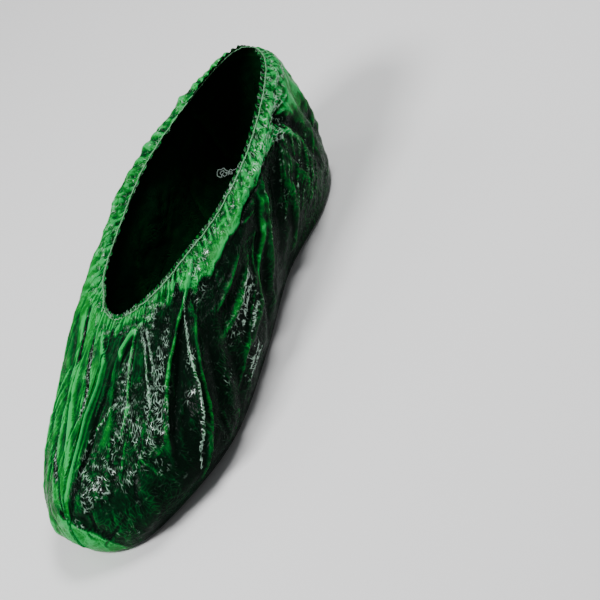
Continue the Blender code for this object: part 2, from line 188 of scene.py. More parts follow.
# Pleats and creases that only the thin film shows, from above downwards
THIN_FOLDS = tuple(Fold(*row) for row in (
    # the inner side, from its outline towards the toe
    ((-3.9, 3.25, -3.1, 2.6, -2.3, 1.9, -1.6, 1.1), 2, -1.5, -0.6),
    ((-2.7, 3.62, -2.22, 3.48, -1.78, 3.32, -1.62, 2.9, -1.46, 2.78), 2.4, -2.4, -1, 0, 0.35),
    ((-1.35, 2.84, -1.14, 2.57, -0.9, 2.4, -0.42, 2.18), 3.8, -2.2, -0.75, 0, 0.9),
    ((-0.35, 2.22, -0.16, 1.95, -0.08, 1.6), 1.5, -1.4, -0.65),
    ((-0.22, 1.72, -0.1, 1.62, 0.02, 1.56), 2.6, -1.6, -0.6),
    ((-1.2, 3.7, -0.68, 3.45, -0.26, 3.18, -0.18, 2.97), 2.5, -2.4, -1, 0, 0.8),
    ((-0.14, 3, -0.3, 2.75, -0.12, 2.4), 1, -0.8, -0.35),
    ((-1.4, 3.6, -1.26, 3.32, -0.76, 2.97, -0.26, 2.6, 0, 2.25), 4.6, 2.4, 0.22),
    ((-0.58, 3.85, 0.16, 3.52, 0.22, 3.23, 0.13, 2.9, 0.14, 2.52, 0.12, 2.2, 0.06, 1.95), 3.4,
      2.3, 0.3, -1, 0.15),
    ((0.6, 3.45, 0.58, 3.08, 0.46, 2.83, 0.42, 2.57, 0.3, 2.27, 0.18, 1.75), 3.2, -2.3, -0.42),
    # the seam's dark line under the toe's front, and the edge of the bright film there
    ((0.12, 1.9, 0.1, 1.6, 0, 1.4, -0.08, 1.2, -0.06, 1, -0.04, 0.6), 1, -0.9, -0.5),
    ((0.1, 1.42, 0.26, 1.26, 0.44, 1.06, 0.56, 0.8, 0.68, 0.4), 2, 1.1, 0.12, -1),
    # the top of the toe box
    ((1.02, 2.84, 0.84, 2.62, 0.64, 2.42), 7, 0.5, 0.16),
    ((1.04, 2.92, 0.66, 2.77, 0.32, 2.6), 1, 1.1, 0.3, 0, 1.2),
    ((1.3, 3.75, 1.2, 3.6, 1.26, 3.35, 1.32, 3.08, 1.34, 2.82, 1.24, 2.57, 1.1, 2.42), 2.2,
      1.7, 0.42, 0, 0.35),
    ((1.42, 3.68, 1.7, 3.45, 1.84, 3.2, 1.92, 2.93, 1.9, 2.6), 1, 1.1, 0.15, 0, 1.6),
    ((1.64, 3.65, 1.86, 3.42, 2, 3.22, 2.06, 3), 1, 1.1, 0.15, 0, 1.6),
    ((1.5, 3.68, 1.78, 3.45, 1.92, 3.18), 0.8, -1, -0.25),
    ((1.4, 3.76, 1, 3.7, 0.76, 3.58, 0.86, 3.45), 2.4, 2.2, 0.6, 0, 0.2),
    ((1.2, 3.56, 1.02, 3.52, 0.9, 3.36), 1.8, -1.5, -0.5),
    ((3.25, 3.95, 3.02, 3.62, 2.84, 3.4), 4.2, 1.6, 0.6, -1),
    ((3, 3.7, 2.88, 3.5, 2.66, 3.28, 2.5, 3, 2.34, 2.67, 2.22, 2.3), 2.8, 2.6, 0.42, -1, 0.25),
    ((2.26, 2.45, 2.2, 2.25, 2.08, 2.02, 1.86, 1.85, 1.62, 1.8), 1.5, 1.2, 0.12, -1, 0.4),
    ((2.8, 3.3, 2.6, 2.78, 2.38, 2.32, 2.14, 1.87, 1.96, 1.45), 4.2, -2.5, -0.4),
    ((2.88, 3.55, 2.86, 3.18, 2.86, 2.87, 2.84, 2.52, 2.78, 2.07, 2.66, 1.72, 2.44, 1.43,
      2.26, 1.23, 2.1, 0.9), 1.2, 1.7, 0.18, 0, 1.6),
    ((3.04, 3.5, 3.08, 3.12, 3.02, 2.7, 2.92, 2.17, 2.8, 1.65, 2.58, 1.3, 2.3, 1, 2.08, 0.62),
      3.6, 2.6, 0.25, -1),
    ((1.9, 2.45, 1.72, 2.2, 1.5, 2.02, 1.3, 1.86), 1.2, 1.2, 0.1, 1, 0.6),
    ((1.3, 2.45, 1.18, 2.2, 1.12, 1.95), 1.5, 1, 0.2, 1, 0.2),
    ((0.52, 1.74, 0.46, 1.45, 0.43, 1.16), 1, -0.4, -0.1),
    ((0.8, 1.66, 0.74, 1.35, 0.7, 1.05), 1, -0.4, -0.1),
    # the outer side
    ((4.62, 2.2, 4.3, 1.62, 3.92, 1.5, 3.66, 1.38, 3.4, 1.2, 3.14, 1.02), 2.2, 1.9, 0.22, 1),
    ((5.12, 2.97, 5.44, 2.87, 5.78, 2.6), 1.3, 2, 0.65, 1, 0.4),
    ((5.04, 2.7, 4.98, 2.1, 4.9, 1.82, 4.7, 1.55), 1.2, 1.7, 0.4, -1, 0.5),
    ((4.95, 2.8, 4.86, 2.38, 4.68, 1.9, 4.44, 1.65, 4.18, 1.4), 4, 2.4, 0.44, 1),
    ((4.76, 2.58, 4.6, 2.75, 4.44, 2.95), 1, 0.9, 0.35),
    ((4.3, 1.95, 4.1, 1.9, 3.85, 1.78), 1.3, 1.1, 0.25, 1, 1.9),
    ((4.26, 1.84, 4.04, 1.8, 3.84, 1.7), 0.9, 0.8, 0.2, 1, 1.8),
    ((4.2, 1.72, 3.98, 1.66, 3.76, 1.55), 1.3, 1.1, 0.25, 1, 1.9),
    ((4.1, 1.45, 3.92, 1.4, 3.7, 1.34), 1.3, 1.1, 0.2, 1, 1.7),
    ((3.86, 0.78, 3.66, 0.86, 3.42, 0.92), 1.2, 0.9, 0.15, 1, 1.8),
    ((3.8, 0.98, 3.6, 1.04, 3.4, 1.08), 1, 0.8, 0.1, 1, 1.6),
    ((3.6, 2.95, 3.7, 2.85, 3.95, 2.8), 1.3, 1, 0.1, 1, 0.5),
    ((3.7, 2.35, 3.62, 2.05, 3.4, 1.75), 1, 0.9, 0.08, 1, 0.5),
    # the heel, round its dent
    ((5.94, 2.75, 6.14, 2.2, 6.34, 1.7), 3.4, -2.4, -0.7),
    ((5.84, 2.88, 5.96, 2.78, 6.08, 2.62), 5, -0.8, -0.5),
    ((5.78, 2.7, 5.96, 2.2, 6.1, 1.8), 1.7, 2, 0.5, 0, 0.6),
    ((5.9, 2.87, 6.12, 2.78, 6.36, 2.66), 1.2, 1.6, 0.4, 1, 0.5),
    ((6.15, 3.5, 6.55, 2.75, 6.85, 1.75), 19, 0.2, 0.7),
))


@dataclass(frozen=True)
class Spot:
    """A patch of fine creases that catch the light, of a half size in millimetres."""

    station: float
    level: float
    half_size: float
    strength: float


GLINTS = tuple(Spot(*row) for row in (
    (2.12, 2.98, 6.5, 0.8), (2.02, 2.72, 7.5, 1), (1.96, 2.48, 7.5, 1), (1.88, 2.24, 7, 0.9),
    (0.55, 2.12, 9, 0.55), (0.66, 1.95, 8.5, 0.66), (0.44, 1.82, 6, 0.55), (0.95, 2.16, 7, 0.6),
    (1.14, 3.2, 6, 0.8), (1.1, 2.95, 5.5, 0.8), (1.32, 2.68, 7.5, 0.8), (1.48, 2.5, 7, 0.8),
    (1.08, 2.48, 5, 0.8), (1.74, 3.67, 7, 0.8), (2.28, 3.2, 5, 0.9), (2.35, 3.45, 4, 0.7),
    (1.2, 1.86, 6, 0.6), (1.52, 1.95, 5.5, 0.6), (1.74, 1.68, 5, 0.4), (0.42, 2.36, 5, 0.7),
    (1.62, 2.95, 6, 0.4), (2.86, 2.6, 3.5, 0.7), (2.62, 2.1, 3, 0.8), (3.7, 1.72, 6, 0.6),
    (3.6, 0.98, 7, 0.6), (3.22, 1.5, 4.5, 0.4), (4.02, 1.62, 8, 0.6), (0.6, 0.95, 5, 0.4),
    (0.95, 0.85, 6, 0.3), (0.22, 1.4, 3.5, 0.6), (3.3, 3.5, 7, 0.6), (5.78, 2.6, 7, 0.5),
    (6.1, 2.92, 7, 0.5), (-0.72, 3.5, 4, 0.6), (-0.14, 3.02, 4, 0.6),
))

# Where the bright film along the inner side and round the toe ends: levels and stations
INNER_EDGE = (
    (0, 0.4, 0.85, 1.13, 1.3, 1.48, 1.6, 2, 2.2, 2.5, 2.9, 3.2, 3.5, 3.8, 4),
    (0.76, 0.66, 0.54, 0.4, 0.22, 0.08, 0.08, 0.14, 0.2, 0.25, 0.28, 0.36, 0.3, -0.4, -1),
)
# The lower edge of the bright band that the elastic gathers: stations and levels
BAND_EDGE = (
    (0, 1.2, 2.2, 2.7, 2.98, 3.5, 3.94, 4.38, 4.56, 4.98, 5.26, 5.52, 5.9, 6.3, 6.7, 7.4, 9, 10.5,
     12.5, 14.5, 16),
    (3.84, 3.8, 3.74, 3.7, 3.6, 3.27, 3.28, 3.08, 3.2, 2.9, 3.05, 2.85, 2.62, 2.5, 2.4, 2.6, 3, 3,
     3.2, 3.55, 3.84),
)
# How green the film stays where it lies close, round the cover
DEEP_TONE = (
    (0, 1, 1.9, 2.2, 2.9, 4, 5.2, 5.8, 6.6, 8, 11, 12.5, 15, 16),
    (0.28, 0.28, 0.26, 0.12, 0.06, 0.06, 0.08, 0.18, 0.28, 0.3, 0.3, 0.28, 0.28, 0.28),
)


@dataclass(frozen=True)
class CoverForm:
    """The plain form of the worn cover, from the sole's edge up to the elastic."""

    length: float = 0.321
    width: float = 0.121
    height: float = 0.095
    toe_spring: float = 0.0012
    edge_radius: float = 0.003
    spring_start: float = -0.20
    shift: tuple[float, float, float] = (-0.7108 * MM, -1.2868 * MM, 0.0)

    def points(self, stations: Array, levels: Array) -> Array:
        """Points of the plain form.

        Args:
            stations: places round the cover, from the toe by the outer side.
            levels: places up it, from 0 at the foot to the rim's level, of the same shape.

        Returns:
            An array with one more axis, of x, y and z in metres.
        """
        size = np.array([self.width, self.length, self.height])
        table = np.array(MERIDIANS).reshape(ROUND, -1, 3) / 1000 * size
        below = 2 * table[:, :1] - table[:, 1:2]
        above = 2 * table[:, -1:] - table[:, -2:-1]
        table = np.concatenate([below, table, above], axis=1)
        whole = np.floor(stations).astype(int)
        across = spline_weights(stations - whole)
        span = np.clip(levels.astype(int), 0, 3)
        along = spline_weights(levels - span)
        found = np.zeros(stations.shape + (3,))
        foot = np.zeros_like(found)
        for step in range(4):
            rows = (whole + step - 1) % ROUND
            foot += across[step][..., None] * table[rows, 1]
            for lift in range(4):
                share = across[step] * along[lift]
                found += share[..., None] * table[rows, span + lift]
        return self._settled(found, foot)

    def _settled(self, found: Array, foot: Array) -> Array:
        """The points drawn in round the sole's edge, lifted with the toe and centred.

        Args:
            found: the points, in metres.
            foot: the foot of each one's meridian.

        Returns:
            The settled points.
        """
        found[..., 2] = np.maximum(found[..., 2], 0.0)
        drop = np.clip(self.edge_radius - found[..., 2], 0.0, self.edge_radius)
        draw = self.edge_radius - np.sqrt(self.edge_radius**2 - drop**2)
        inward = -foot * np.array([1.0, 0.4, 0.0])
        inward /= np.linalg.norm(inward, axis=-1, keepdims=True)
        found = found + inward * draw[..., None]
        start = self.spring_start * self.length
        reach = np.maximum(start - found[..., 1], 0.0) / (0.5 * self.length + start)
        found[..., 2] += self.toe_spring * reach**2
        return found + np.array(self.shift)

    def normals(self, stations: Array, levels: Array) -> Array:
        """Outward directions of the plain form at the same places.

        Args:
            stations: the places' stations.
            levels: their levels.

        Returns:
            Directions of length 1.
        """
        step = 0.02
        across = self.points(stations + step, levels) - self.points(stations - step, levels)
        low, high = np.maximum(levels - step, 0.0), np.minimum(levels + step, RIM)
        along = self.points(stations, high) - self.points(stations, low)
        found = np.cross(across, along)
        return found / np.linalg.norm(found, axis=-1, keepdims=True)


def spline_weights(share: Array) -> tuple[Array, ...]:
    """Catmull-Rom weights of the four rows round a place.

    Args:
        share: how far the place lies from the second row to the third.

    Returns:
        The four weights.
    """
    return (
        0.5 * (-share + 2 * share**2 - share**3),
        0.5 * (2 - 5 * share**2 + 3 * share**3),
        0.5 * (share + 4 * share**2 - 3 * share**3),
        0.5 * (-(share**2) + share**3),
    )


def smooth(value: Array) -> Array:
    """0 below 0 and 1 above 1, with an even ramp between."""
    held = np.clip(value, 0.0, 1.0)
    return held * held * (3 - 2 * held)


def window(value: Array, start: float, rise: float, end: float, fall: float) -> Array:
    """1 between a start and an end, with a ramp of its own length inside each."""
    return smooth((value - start) / rise) * smooth((end - value) / fall)


def separation(stations: Array, levels: Array, station: float, level: float) -> tuple[Array, Array]:
    """How far places lie from one place, in rough millimetres round the cover and up it."""
    turn = (stations - station + ROUND / 2) % ROUND - ROUND / 2
    return turn * (STATION_WIDTH - STATION_TAPER * levels), (levels - level) * LEVEL_HEIGHT


def zigzag(phase: Array) -> Array:
    """A wave of straight flanks and sharp creases, between -1 and 1."""
    return 4 * np.abs(phase - np.floor(phase + 0.5)) - 1


def blurred(height: Array) -> Array:
    """The heights evened out over about 4 mm, round the cover and up it.

    Args:
        height: the heights, by rows and columns.

    Returns:
        The evened heights.
    """
    for axis, reach in ((1, 4), (0, 3)):
        total = sum(np.roll(height, step, axis) for step in range(-reach, reach + 1))
        height = total / (2 * reach + 1)
    return height


class Relief:
    """Folds, gathers and crumples of the film, as heights over the plain form."""

    HEEL_DENT = (5.95, 2.80)
    HEEL_RAYS = 14
    HEEL_FAN = 13
    GATHER_WAVES = 13
    CRUMPLE_WAVES = 14

    def __init__(self) -> None:
        """Keeps a fixed source of random numbers."""
        self.random = np.random.default_rng(SEED)

    def _near(self, fold: Fold, stations: Array, levels: Array) -> tuple[Array, Array, Array]:
        """How near each place is to a fold's path.

        Args:
            fold: the fold.
            stations: the places' stations.
            levels: their levels.

        Returns:
            The distance in millimetres, the place along the path, and the side, 1 or -1.
        """
        across = STATION_WIDTH - STATION_TAPER * levels
        path = fold.line()
        best = np.full(stations.shape, 1e9)
        where = np.zeros(stations.shape)
        side = np.ones(stations.shape)
        for step in range(len(path) - 1):
            a, b = path[step], path[step + 1]
            px, py = separation(stations, levels, *a)
            bx, by = (b[0] - a[0]) * across, (b[1] - a[1]) * LEVEL_HEIGHT
            part = np.clip((px * bx + py * by) / (bx * bx + by * by + 1e-9), 0, 1)
            apart = np.hypot(px - part * bx, py - part * by)
            closer = apart < best
            best = np.where(closer, apart, best)
            where = np.where(closer, (step + part) / (len(path) - 1), where)
            side = np.where(closer, np.sign(px * by - py * bx), side)
        return best, where, side

    def folds(self, folds: tuple[Fold, ...], stations: Array, levels: Array,
              crease: float) -> tuple[Array, Array, Array]:
        """Heights of a list of folds in metres, how free they leave the film, and glints.

        Args:
            folds: the folds.
            stations: the places' stations.
            levels: their levels.
            crease: how sharp their tops are, from 0 to 1.

        Returns:
            Heights in metres, what they add to the bright green, and the glints.
        """
        height, free, glint = (np.zeros(stations.shape) for _ in range(3))
        sway = 0.007 * np.sin(levels * 11 + stations * 3)
        sway += 0.003 * np.sin(levels * 41 + stations * 7)
        for fold in folds:
            apart, where, side = self._near(fold, stations + sway, levels)
            width = np.where(side * fold.steep > 0, 0.42, 1.0) * fold.half_width
            width *= 0.94 + 0.10 * np.sin(where * 11 + fold.rise * 7)
            inside = np.clip(1 - apart / width, 0, 1)
            round_top = 0.5 * (1 - np.cos(np.pi * inside))
            bump = (1 - crease) * round_top + crease * inside**1.2
            bump = bump * np.sin(np.pi * (0.08 + 0.84 * where))
            height += fold.rise * MM * bump
            free += fold.free * smooth(1.7 * bump)
            glint += fold.glint * smooth(2.5 * bump)
        return height, free, glint

    def spots(self, spots: tuple[Spot, ...], stations: Array, levels: Array) -> Array:
        """How strongly each place lies in one of the patches.

        Args:
            spots: the patches.
            stations: the places' stations.
            levels: their levels.

        Returns:
            The strengths, with the same shape.
        """
        total = np.zeros(stations.shape)
        for spot in spots:
            apart = np.hypot(*separation(stations, levels, spot.station, spot.level))
            total = np.maximum(total, spot.strength * smooth(1.5 - apart / spot.half_size))
        return total

    def small_folds(self, count: int) -> tuple[Fold, ...]:
        """Fine creases that run down from the rim, more of them over the toe.

        Args:
            count: how many.

        Returns:
            The creases as folds.
        """
        draw = self.random
        folds = []
        for _ in range(count):
            station = draw.choice([
                draw.uniform(0, ROUND),
                draw.normal(1.2, 1.3),
                draw.normal(14.3, 1.2),
                draw.normal(6.2, 0.8),
            ])
            low = draw.uniform(0.4, 2.9)
            high = low + draw.uniform(0.4, 1.3)
            lean = draw.normal(0, 0.26)
            bow = draw.normal(0, 0.10)
            rise = draw.uniform(0.3, 0.9) * draw.choice([1, 1, -1])
            path = (station + lean, low, station + 0.5 * lean + bow, (low + high) / 2,
                    station, min(high, 3.7))
            width = draw.uniform(1.2, 2.6)
            folds.append(Fold(path, width, rise, 0.14 * rise, draw.choice([-1, 1])))
        return tuple(folds)

    def heel_rays(self) -> tuple[Fold, ...]:
        """Short creases that run out from the dent at the heel, and down under it.

        Returns:
            The creases as folds.
        """
        draw = self.random
        rays = []
        station, level = self.HEEL_DENT
        for turn in np.linspace(0.2, TURN + 0.2, self.HEEL_RAYS + 1)[:-1]:
            out = draw.uniform(0.55, 1.05)
            side, rise = 0.62 * np.cos(turn) * out, 0.85 * np.sin(turn) * out
            path = [(station + part * side, level + part * rise) for part in (0.2, 0.6, 1.0)]
            rays.append(Fold(sum(path, ()), 1.6, 1.5, 0.26, 1, 0.35))
        for step in range(self.HEEL_FAN):
            share = step / (self.HEEL_FAN - 1)
            start = (5.62 + 0.90 * share, 2.38 - 1.10 * share + 0.16 * (step % 2))
            end = (5.08 + 0.66 * share + draw.normal(0, 0.05), 1.36 - 0.85 * share)
            middle = (0.5 * (start[0] + end[0]) + 0.05, 0.5 * (start[1] + end[1]))
            rays.append(Fold(start + middle + end, 1.0, 1.0, 0.20, 1, 0.4))
        return tuple(rays)

    def gathers(self, stations: Array, below: Array) -> Array:
        """Heights of the gathers under the elastic, finest just below it.

        Args:
            stations: the places' stations.
            below: how far down from the elastic each place is, in metres.

        Returns:
            Heights in metres.
        """
        draw = self.random
        run = stations / ROUND
        height = np.zeros(stations.shape)
        for step in range(self.GATHER_WAVES):
            count = int(draw.uniform(38, 62) * (1 + 0.26 * step))
            reach = (30 - 1.75 * step) * MM * draw.uniform(0.7, 1.2)
            wobble = draw.uniform(0.3, 0.9)
            wobble = wobble * np.sin(TURN * draw.integers(3, 14) * run + draw.uniform(0, 6.3))
            wobble += 0.45 * np.sin(TURN * (count // 6) * run + count)
            drift = draw.normal(0, 30) * below
            wave = zigzag(count * run + wobble + drift + draw.uniform(0, 1))
            patch = np.sin(TURN * (draw.integers(4, 11) * run) + draw.uniform(0, 6.3))
            fade = 1 - smooth(below / reach)
            height += 0.62 * MM * wave * fade * (0.5 + 0.5 * patch) * 44 / count
        return height * smooth(below / (2.2 * MM))

    def crumples(self, points: Array) -> Array:
        """Heights in metres of the film's flat-sided crumples, for places in metres.

        Args:
            points: the places.

        Returns:
            The heights.
        """
        draw = self.random
        height = np.zeros(points.shape[:-1])
        warp = sum(np.sin(points @ draw.normal(0, 55, 3) + draw.uniform(0, 6.3)) for _ in range(5))
        for _ in range(self.CRUMPLE_WAVES):
            way = draw.normal(0, 1, 3)
            way /= np.linalg.norm(way)
            wave = draw.uniform(4.2, 14.0) * MM
            phase = points @ way / wave + 0.30 * warp + draw.uniform(0, 1)
            mask = np.sin(points @ draw.normal(0, 90, 3) + draw.uniform(0, 6.3))
            height += 0.020 * wave * zigzag(phase) * (0.5 + 0.5 * mask)
        return height


@dataclass
class FilmPouch:
    """The film itself: sole, sides, toe box, gathered rim and ruffled edge."""

    form: CoverForm
    relief: Relief
    columns: int = 800
    wall_rows: int = 96
    sole_rings: int = 14
    frill_rows: int = 4
    frill_height: float = 2.6 * MM
    frill_wave: float = 0.7 * MM
    stand_off: float = 0.1 * MM
    small_folds: int = 90
    edge_waves: int = 137
    sole_start: float = 120 * MM
    ring_gap: float = 3 * MM
    flat_width: float = 0.30
    flat_length: float = 0.38
    grids: dict[str, Array] = field(default_factory=dict)

    def _levels(self) -> Array:
        """Levels of the wall's rows, closer together towards the rim."""
        share = np.linspace(0, 1, self.wall_rows)
        return RIM * (0.68 * share + 0.32 * np.sin(share * np.pi / 2))

    def free_film(self, stations: Array, levels: Array, folds: Array, crumple: Array) -> Array:
        """How much of its own bright green the film shows, from 0 to 1.

        Args:
            stations: the places' stations.
            levels: their levels.
            folds: what the folds add or take.
            crumple: the crumples' heights, which fray the edges of the bright parts.

        Returns:
            The share, with the same shape.
        """
        around = (stations + ROUND / 2) % ROUND - ROUND / 2
        fray = 0.04 * np.sin(around * 9.1 + 2) + 0.03 * np.sin(around * 17.3)
        fray += 0.07 * np.clip(crumple / (0.5 * MM), -1, 1)
        # the bright film along the inner side and round the toe
        edge = np.interp(levels, *INNER_EDGE)
        inner = smooth((edge - around) / 0.07 + 0.5) * smooth((around + 6.0) / 1.8)
        front = smooth((around + 1.0) / 0.8) * smooth((1.8 - levels) / 0.5)
        inner *= 0.50 + 0.14 * smooth((levels - 0.05) / 0.6) + 0.17 * front
        inner *= 1 + 0.15 * smooth((around + 0.9) / 0.7)
        # the gathered band, the side behind, and the film that lies close
        low = np.interp(stations, *BAND_EDGE)
        band = (0.87 + 0.12 * self.heel(stations)) * smooth((levels - low - fray) / 0.06 + 0.5)
        back = 0.5 * window(stations, 7.0, 0.9, 12.4, 0.9)
        deep = 0.025 + np.interp(stations, *DEEP_TONE)
        deep *= 1 - 0.65 * window(around, 0.7, 0.6, 3.4, 0.5) * smooth((2.0 - levels) / 0.8)
        base = np.maximum.reduce([inner, band, back, deep])
        folds = folds * (1 + 0.5 * np.clip(crumple / (0.4 * MM), -1, 1))
        return np.clip(base + folds, 0.0, 1.0)

    @staticmethod
    def heel(stations: Array) -> Array:
        """1 round the heel's outer side, with a ramp at each end."""
        return window(stations, 4.2, 1.0, 8.8, 1.0)

    @staticmethod
    def rolled_edge(stations: Array, levels: Array) -> Array:
        """Height of the gathered band over the film below it, which its lower edge covers.

        Args:
            stations: the places' stations.
            levels: their levels.

        Returns:
            Heights in metres.
        """
        over = levels - np.interp(stations, *BAND_EDGE)
        side = window(stations, 2.4, 0.5, 6.2, 0.5)
        roll = 1.7 * MM * side * smooth(over / 0.07 + 0.5) * (1 - smooth((over - 0.1) / 0.55))
        inner = window(stations, 7.8, 1.0, 13.4, 1.0)
        wave = 1 + 0.25 * np.sin(stations * 7.3 + 1) + 0.12 * np.sin(stations * 15.7)
        return roll + 2.2 * MM * inner * wave * smooth(1.5 - np.abs(levels - 3.45) / 0.42)

    def _surface(self, stations: Array, levels: Array, points: Array,
                 below: Array) -> tuple[Array, dict[str, Array]]:
        """The wall's heights over the plain form, and the numbers that its finish reads.

        Args:
            stations: the places' stations.
            levels: their levels.
            points: the places themselves, in metres.
            below: how far down from the elastic each one is, in metres.

        Returns:
            The heights in metres, and each attribute's values by its name.
        """
        relief = self.relief
        main, main_free, _ = relief.folds(MAIN_FOLDS, stations, levels, 0.5)
        fine = THIN_FOLDS + relief.small_folds(self.small_folds) + relief.heel_rays()
        thin, thin_free, glint = relief.folds(fine, stations, levels, 0.8)
        crumple = relief.crumples(points)
        settled = smooth((levels - 0.12) / 0.4) * smooth((below - 3 * MM) / (6 * MM))
        free = self.free_film(stations, levels, (main_free + thin_free) * settled, crumple)
        # the bright film is calmer, and crumples more just under the gathers
        calm = smooth((free - 0.55) / 0.3) * (1 - smooth((14 * MM - below) / (6 * MM)))
        rough = (1 - 0.72 * calm) * smooth((levels - 0.05) / 0.3)
        rough *= 1 - 0.9 * smooth((5 * MM - below) / (4 * MM))
        rough *= 1 - 0.70 * window(stations, 0.2, 0.4, 2.9, 0.6) * smooth((1.95 - levels) / 0.5)
        collar = smooth((below - 3 * MM) / (3 * MM)) * (1 - smooth((below - 15 * MM) / (5 * MM)))
        rough *= 1 + 0.8 * collar
        gathers = relief.gathers(stations, below) * (1 - 0.3 * smooth((below - 4 * MM) / (4 * MM)))
        height = settled * (main + thin + self.rolled_edge(stations, levels))
        height += gathers + crumple * rough
        # creases catch the light most in the band
        band = (0.44 + 0.28 * self.heel(stations)) * (1 - smooth((below - 13 * MM) / (5 * MM)))
        glint = np.clip(glint + relief.spots(GLINTS, stations, levels) + band, 0, 2)
        glint = np.maximum(glint, 0.06 * (1 - calm))
        return height, {
            "free": free,
            "crush": (0.32 + 0.75 * np.minimum(glint, 1)) * (1 - 0.6 * calm),
            # painted shade and highlight: how far the film stands over its own evened height, which
            # the finish paints lighter on crests and darker in hollows
            "crest_shade_highlight": np.clip((height - blurred(height)) / (0.45 * MM), -1, 1),
            "glint": glint,
        }

    def build(self) -> bpy.types.Object:
        """Makes the film as one mesh, with its colour and crumple attributes.

        Returns:
            The object.
        """
        stations = np.arange(self.columns) * ROUND / self.columns
        stations, levels = np.meshgrid(stations, self._levels())
        points = self.form.points(stations, levels)
        normals = self.form.normals(stations, levels)
        normals[0] = (0, 0, -1)
        steps = np.linalg.norm(np.diff(points, axis=0), axis=-1)
        below = np.concatenate([np.cumsum(steps[::-1], axis=0)[::-1], steps[:1] * 0])
        height, marks = self._surface(stations, levels, points, below)
        wall = points + normals * (height + self.stand_off)[..., None]
        self.grids = {"wall": wall, "normals": normals, "levels": levels}
        frill = self._frill(stations[-1], normals[-1])
        sole = self._sole(wall[0])
        ring = np.ones((1, self.columns))
        edge = 0.55 + 0.35 * np.sin(TURN * self.edge_waves * stations[:1] / ROUND)
        # the sole's and the ruffle's fixed numbers; on the ruffle the crest number paints a little
        # highlight and the glint number paints glint strokes
        ends = {"free": (0.25, edge), "crush": (0.6, 1), "crest_shade_highlight": (0, 0.3), "glint": (0, 0.6)}
        for name, (under, over) in ends.items():
            marks[name] = np.concatenate(
                [ring * under] * len(sole) + [marks[name]] + [ring * over] * len(frill)
            )
        along = np.concatenate([
            (self.sole_start + self.ring_gap * np.arange(len(sole))[::-1, None]) * ring,
            below,
            -MM * np.arange(1, len(frill) + 1)[:, None] * ring,
        ])
        rows = np.concatenate([sole[::-1], wall, frill])
        around = stations[:1] * FILM_STATION * np.ones((len(rows), 1))
        return self._mesh(rows, marks, around, along)

    def _frill(self, stations: Array, normals: Array) -> Array:
        """Rows of the ruffled edge above the elastic.

        Args:
            stations: the rim's stations.
            normals: the outward directions there.

        Returns:
            Points by rows, from the elastic upwards.
        """
        levels = np.full(stations.shape, RIM)
        rim = self.form.points(stations, levels)
        rise = rim - self.form.points(stations, levels - 0.05)
        rise /= np.linalg.norm(rise, axis=-1, keepdims=True)
        run = stations / ROUND
        random = np.random.default_rng(SEED + 1)
        wave, edge = np.zeros(run.shape), np.ones(run.shape)
        for _ in range(9):
            count = random.integers(24, 120)
            phase = TURN * (count * run + random.uniform(0, 1))
            patch = 0.5 + 0.5 * np.sin(TURN * (random.integers(3, 17) * run) + phase[0])
            wave += 0.42 * patch * np.sin(phase)
            edge += 0.075 * patch * np.sin(1.7 * phase + 1)
        rows = []
        for share in np.linspace(0, 1, self.frill_rows + 1)[1:]:
            out = self.frill_wave * wave * share**1.4
            up = self.frill_height * share * edge
            flare = 0.3 * self.frill_height * share**2
            row = rim + rise * up[:, None] + normals * out[:, None]
            rows.append(row + np.array([0, 0, flare]))
        return np.array(rows)

    def _sole(self, foot: Array) -> Array:
        """Rings of the sole, from just inside its edge to its middle line.

        Args:
            foot: the wall's lowest row.

        Returns:
            Points by rings.
        """
        mirror = np.roll(foot[::-1], 1, axis=0)
        spine = 0.5 * (foot + mirror)
        spine[:, 1] *= 0.82
        rings = []
        for share in np.linspace(0, 1, self.sole_rings + 1)[1:]:
            ring = foot + (spine - foot) * share
            wave = np.sin(ring[:, 0] * 420 + 3 * np.sin(ring[:, 1] * 130))
            wave += zigzag(ring[:, 1] * 70 + 1.5 * np.sin(ring[:, 0] * 160))
            ring[:, 2] += 0.14 * MM * (2 + wave) * smooth(np.array(share * 4))
            rings.append(ring)
        return np.array(rings)

    def _mesh(self, rows: Array, marks: dict[str, Array], around: Array,
              along: Array) -> bpy.types.Object:
        """Turns rows of points into the film's mesh.

        Args:
            rows: the points, from the middle of the sole to the ruffle.
            marks: the values of each attribute.
            around: how far round each point lies on the flat film.
            along: how far down from the elastic it lies there.

        Returns:
            The object.
        """
        count, columns = rows.shape[:2]
        index = np.arange(count * columns).reshape(count, columns)
        beside = np.roll(index, -1, axis=1)
        quads = np.stack([index[:-1], beside[:-1], beside[1:], index[1:]], -1).reshape(-1, 4)
        mesh = bpy.data.meshes.new("film_pouch")
        mesh.from_pydata(rows.reshape(-1, 3).tolist(), [], quads.tolist())
        set_marks(mesh, marks)
        uv = mesh.uv_layers.new(name="film")
        loops = quads.reshape(-1)
        wide = around.reshape(-1)[quads]
        seam = wide[:, 1:3] < wide[:, :1]
        wide[:, 1:3] += seam * ROUND * FILM_STATION
        pairs = np.stack([wide.reshape(-1), along.reshape(-1)[loops]], -1).astype(np.float32)
        uv.data.foreach_set("uv", pairs.reshape(-1))
        with opened(mesh) as work:
            bmesh.ops.remove_doubles(work, verts=work.verts, dist=0.02 * MM)
        mesh.shade_smooth()
        return add_object("film_pouch", mesh)


@contextmanager
def opened(mesh: bpy.types.Mesh) -> Iterator[bmesh.types.BMesh]:
    """Opens a mesh for changes, and writes them back afterwards.

    Args:
        mesh: the mesh.

    Returns:
        Its points, edges and faces, open for changes.
    """
    work = bmesh.new()
    work.from_mesh(mesh)
    yield work
    work.to_mesh(mesh)
    work.free()


def set_marks(mesh: bpy.types.Mesh, marks: dict[str, Array]) -> None:
    """Gives the points of a mesh their numbers, by the names that the finishes read.

    Args:
        mesh: the mesh.
        marks: the values of each attribute.
    """
    for name, values in marks.items():
        layer = mesh.attributes.new(name, "FLOAT", "POINT")
        layer.data.foreach_set("value", values.reshape(-1).astype(np.float32))


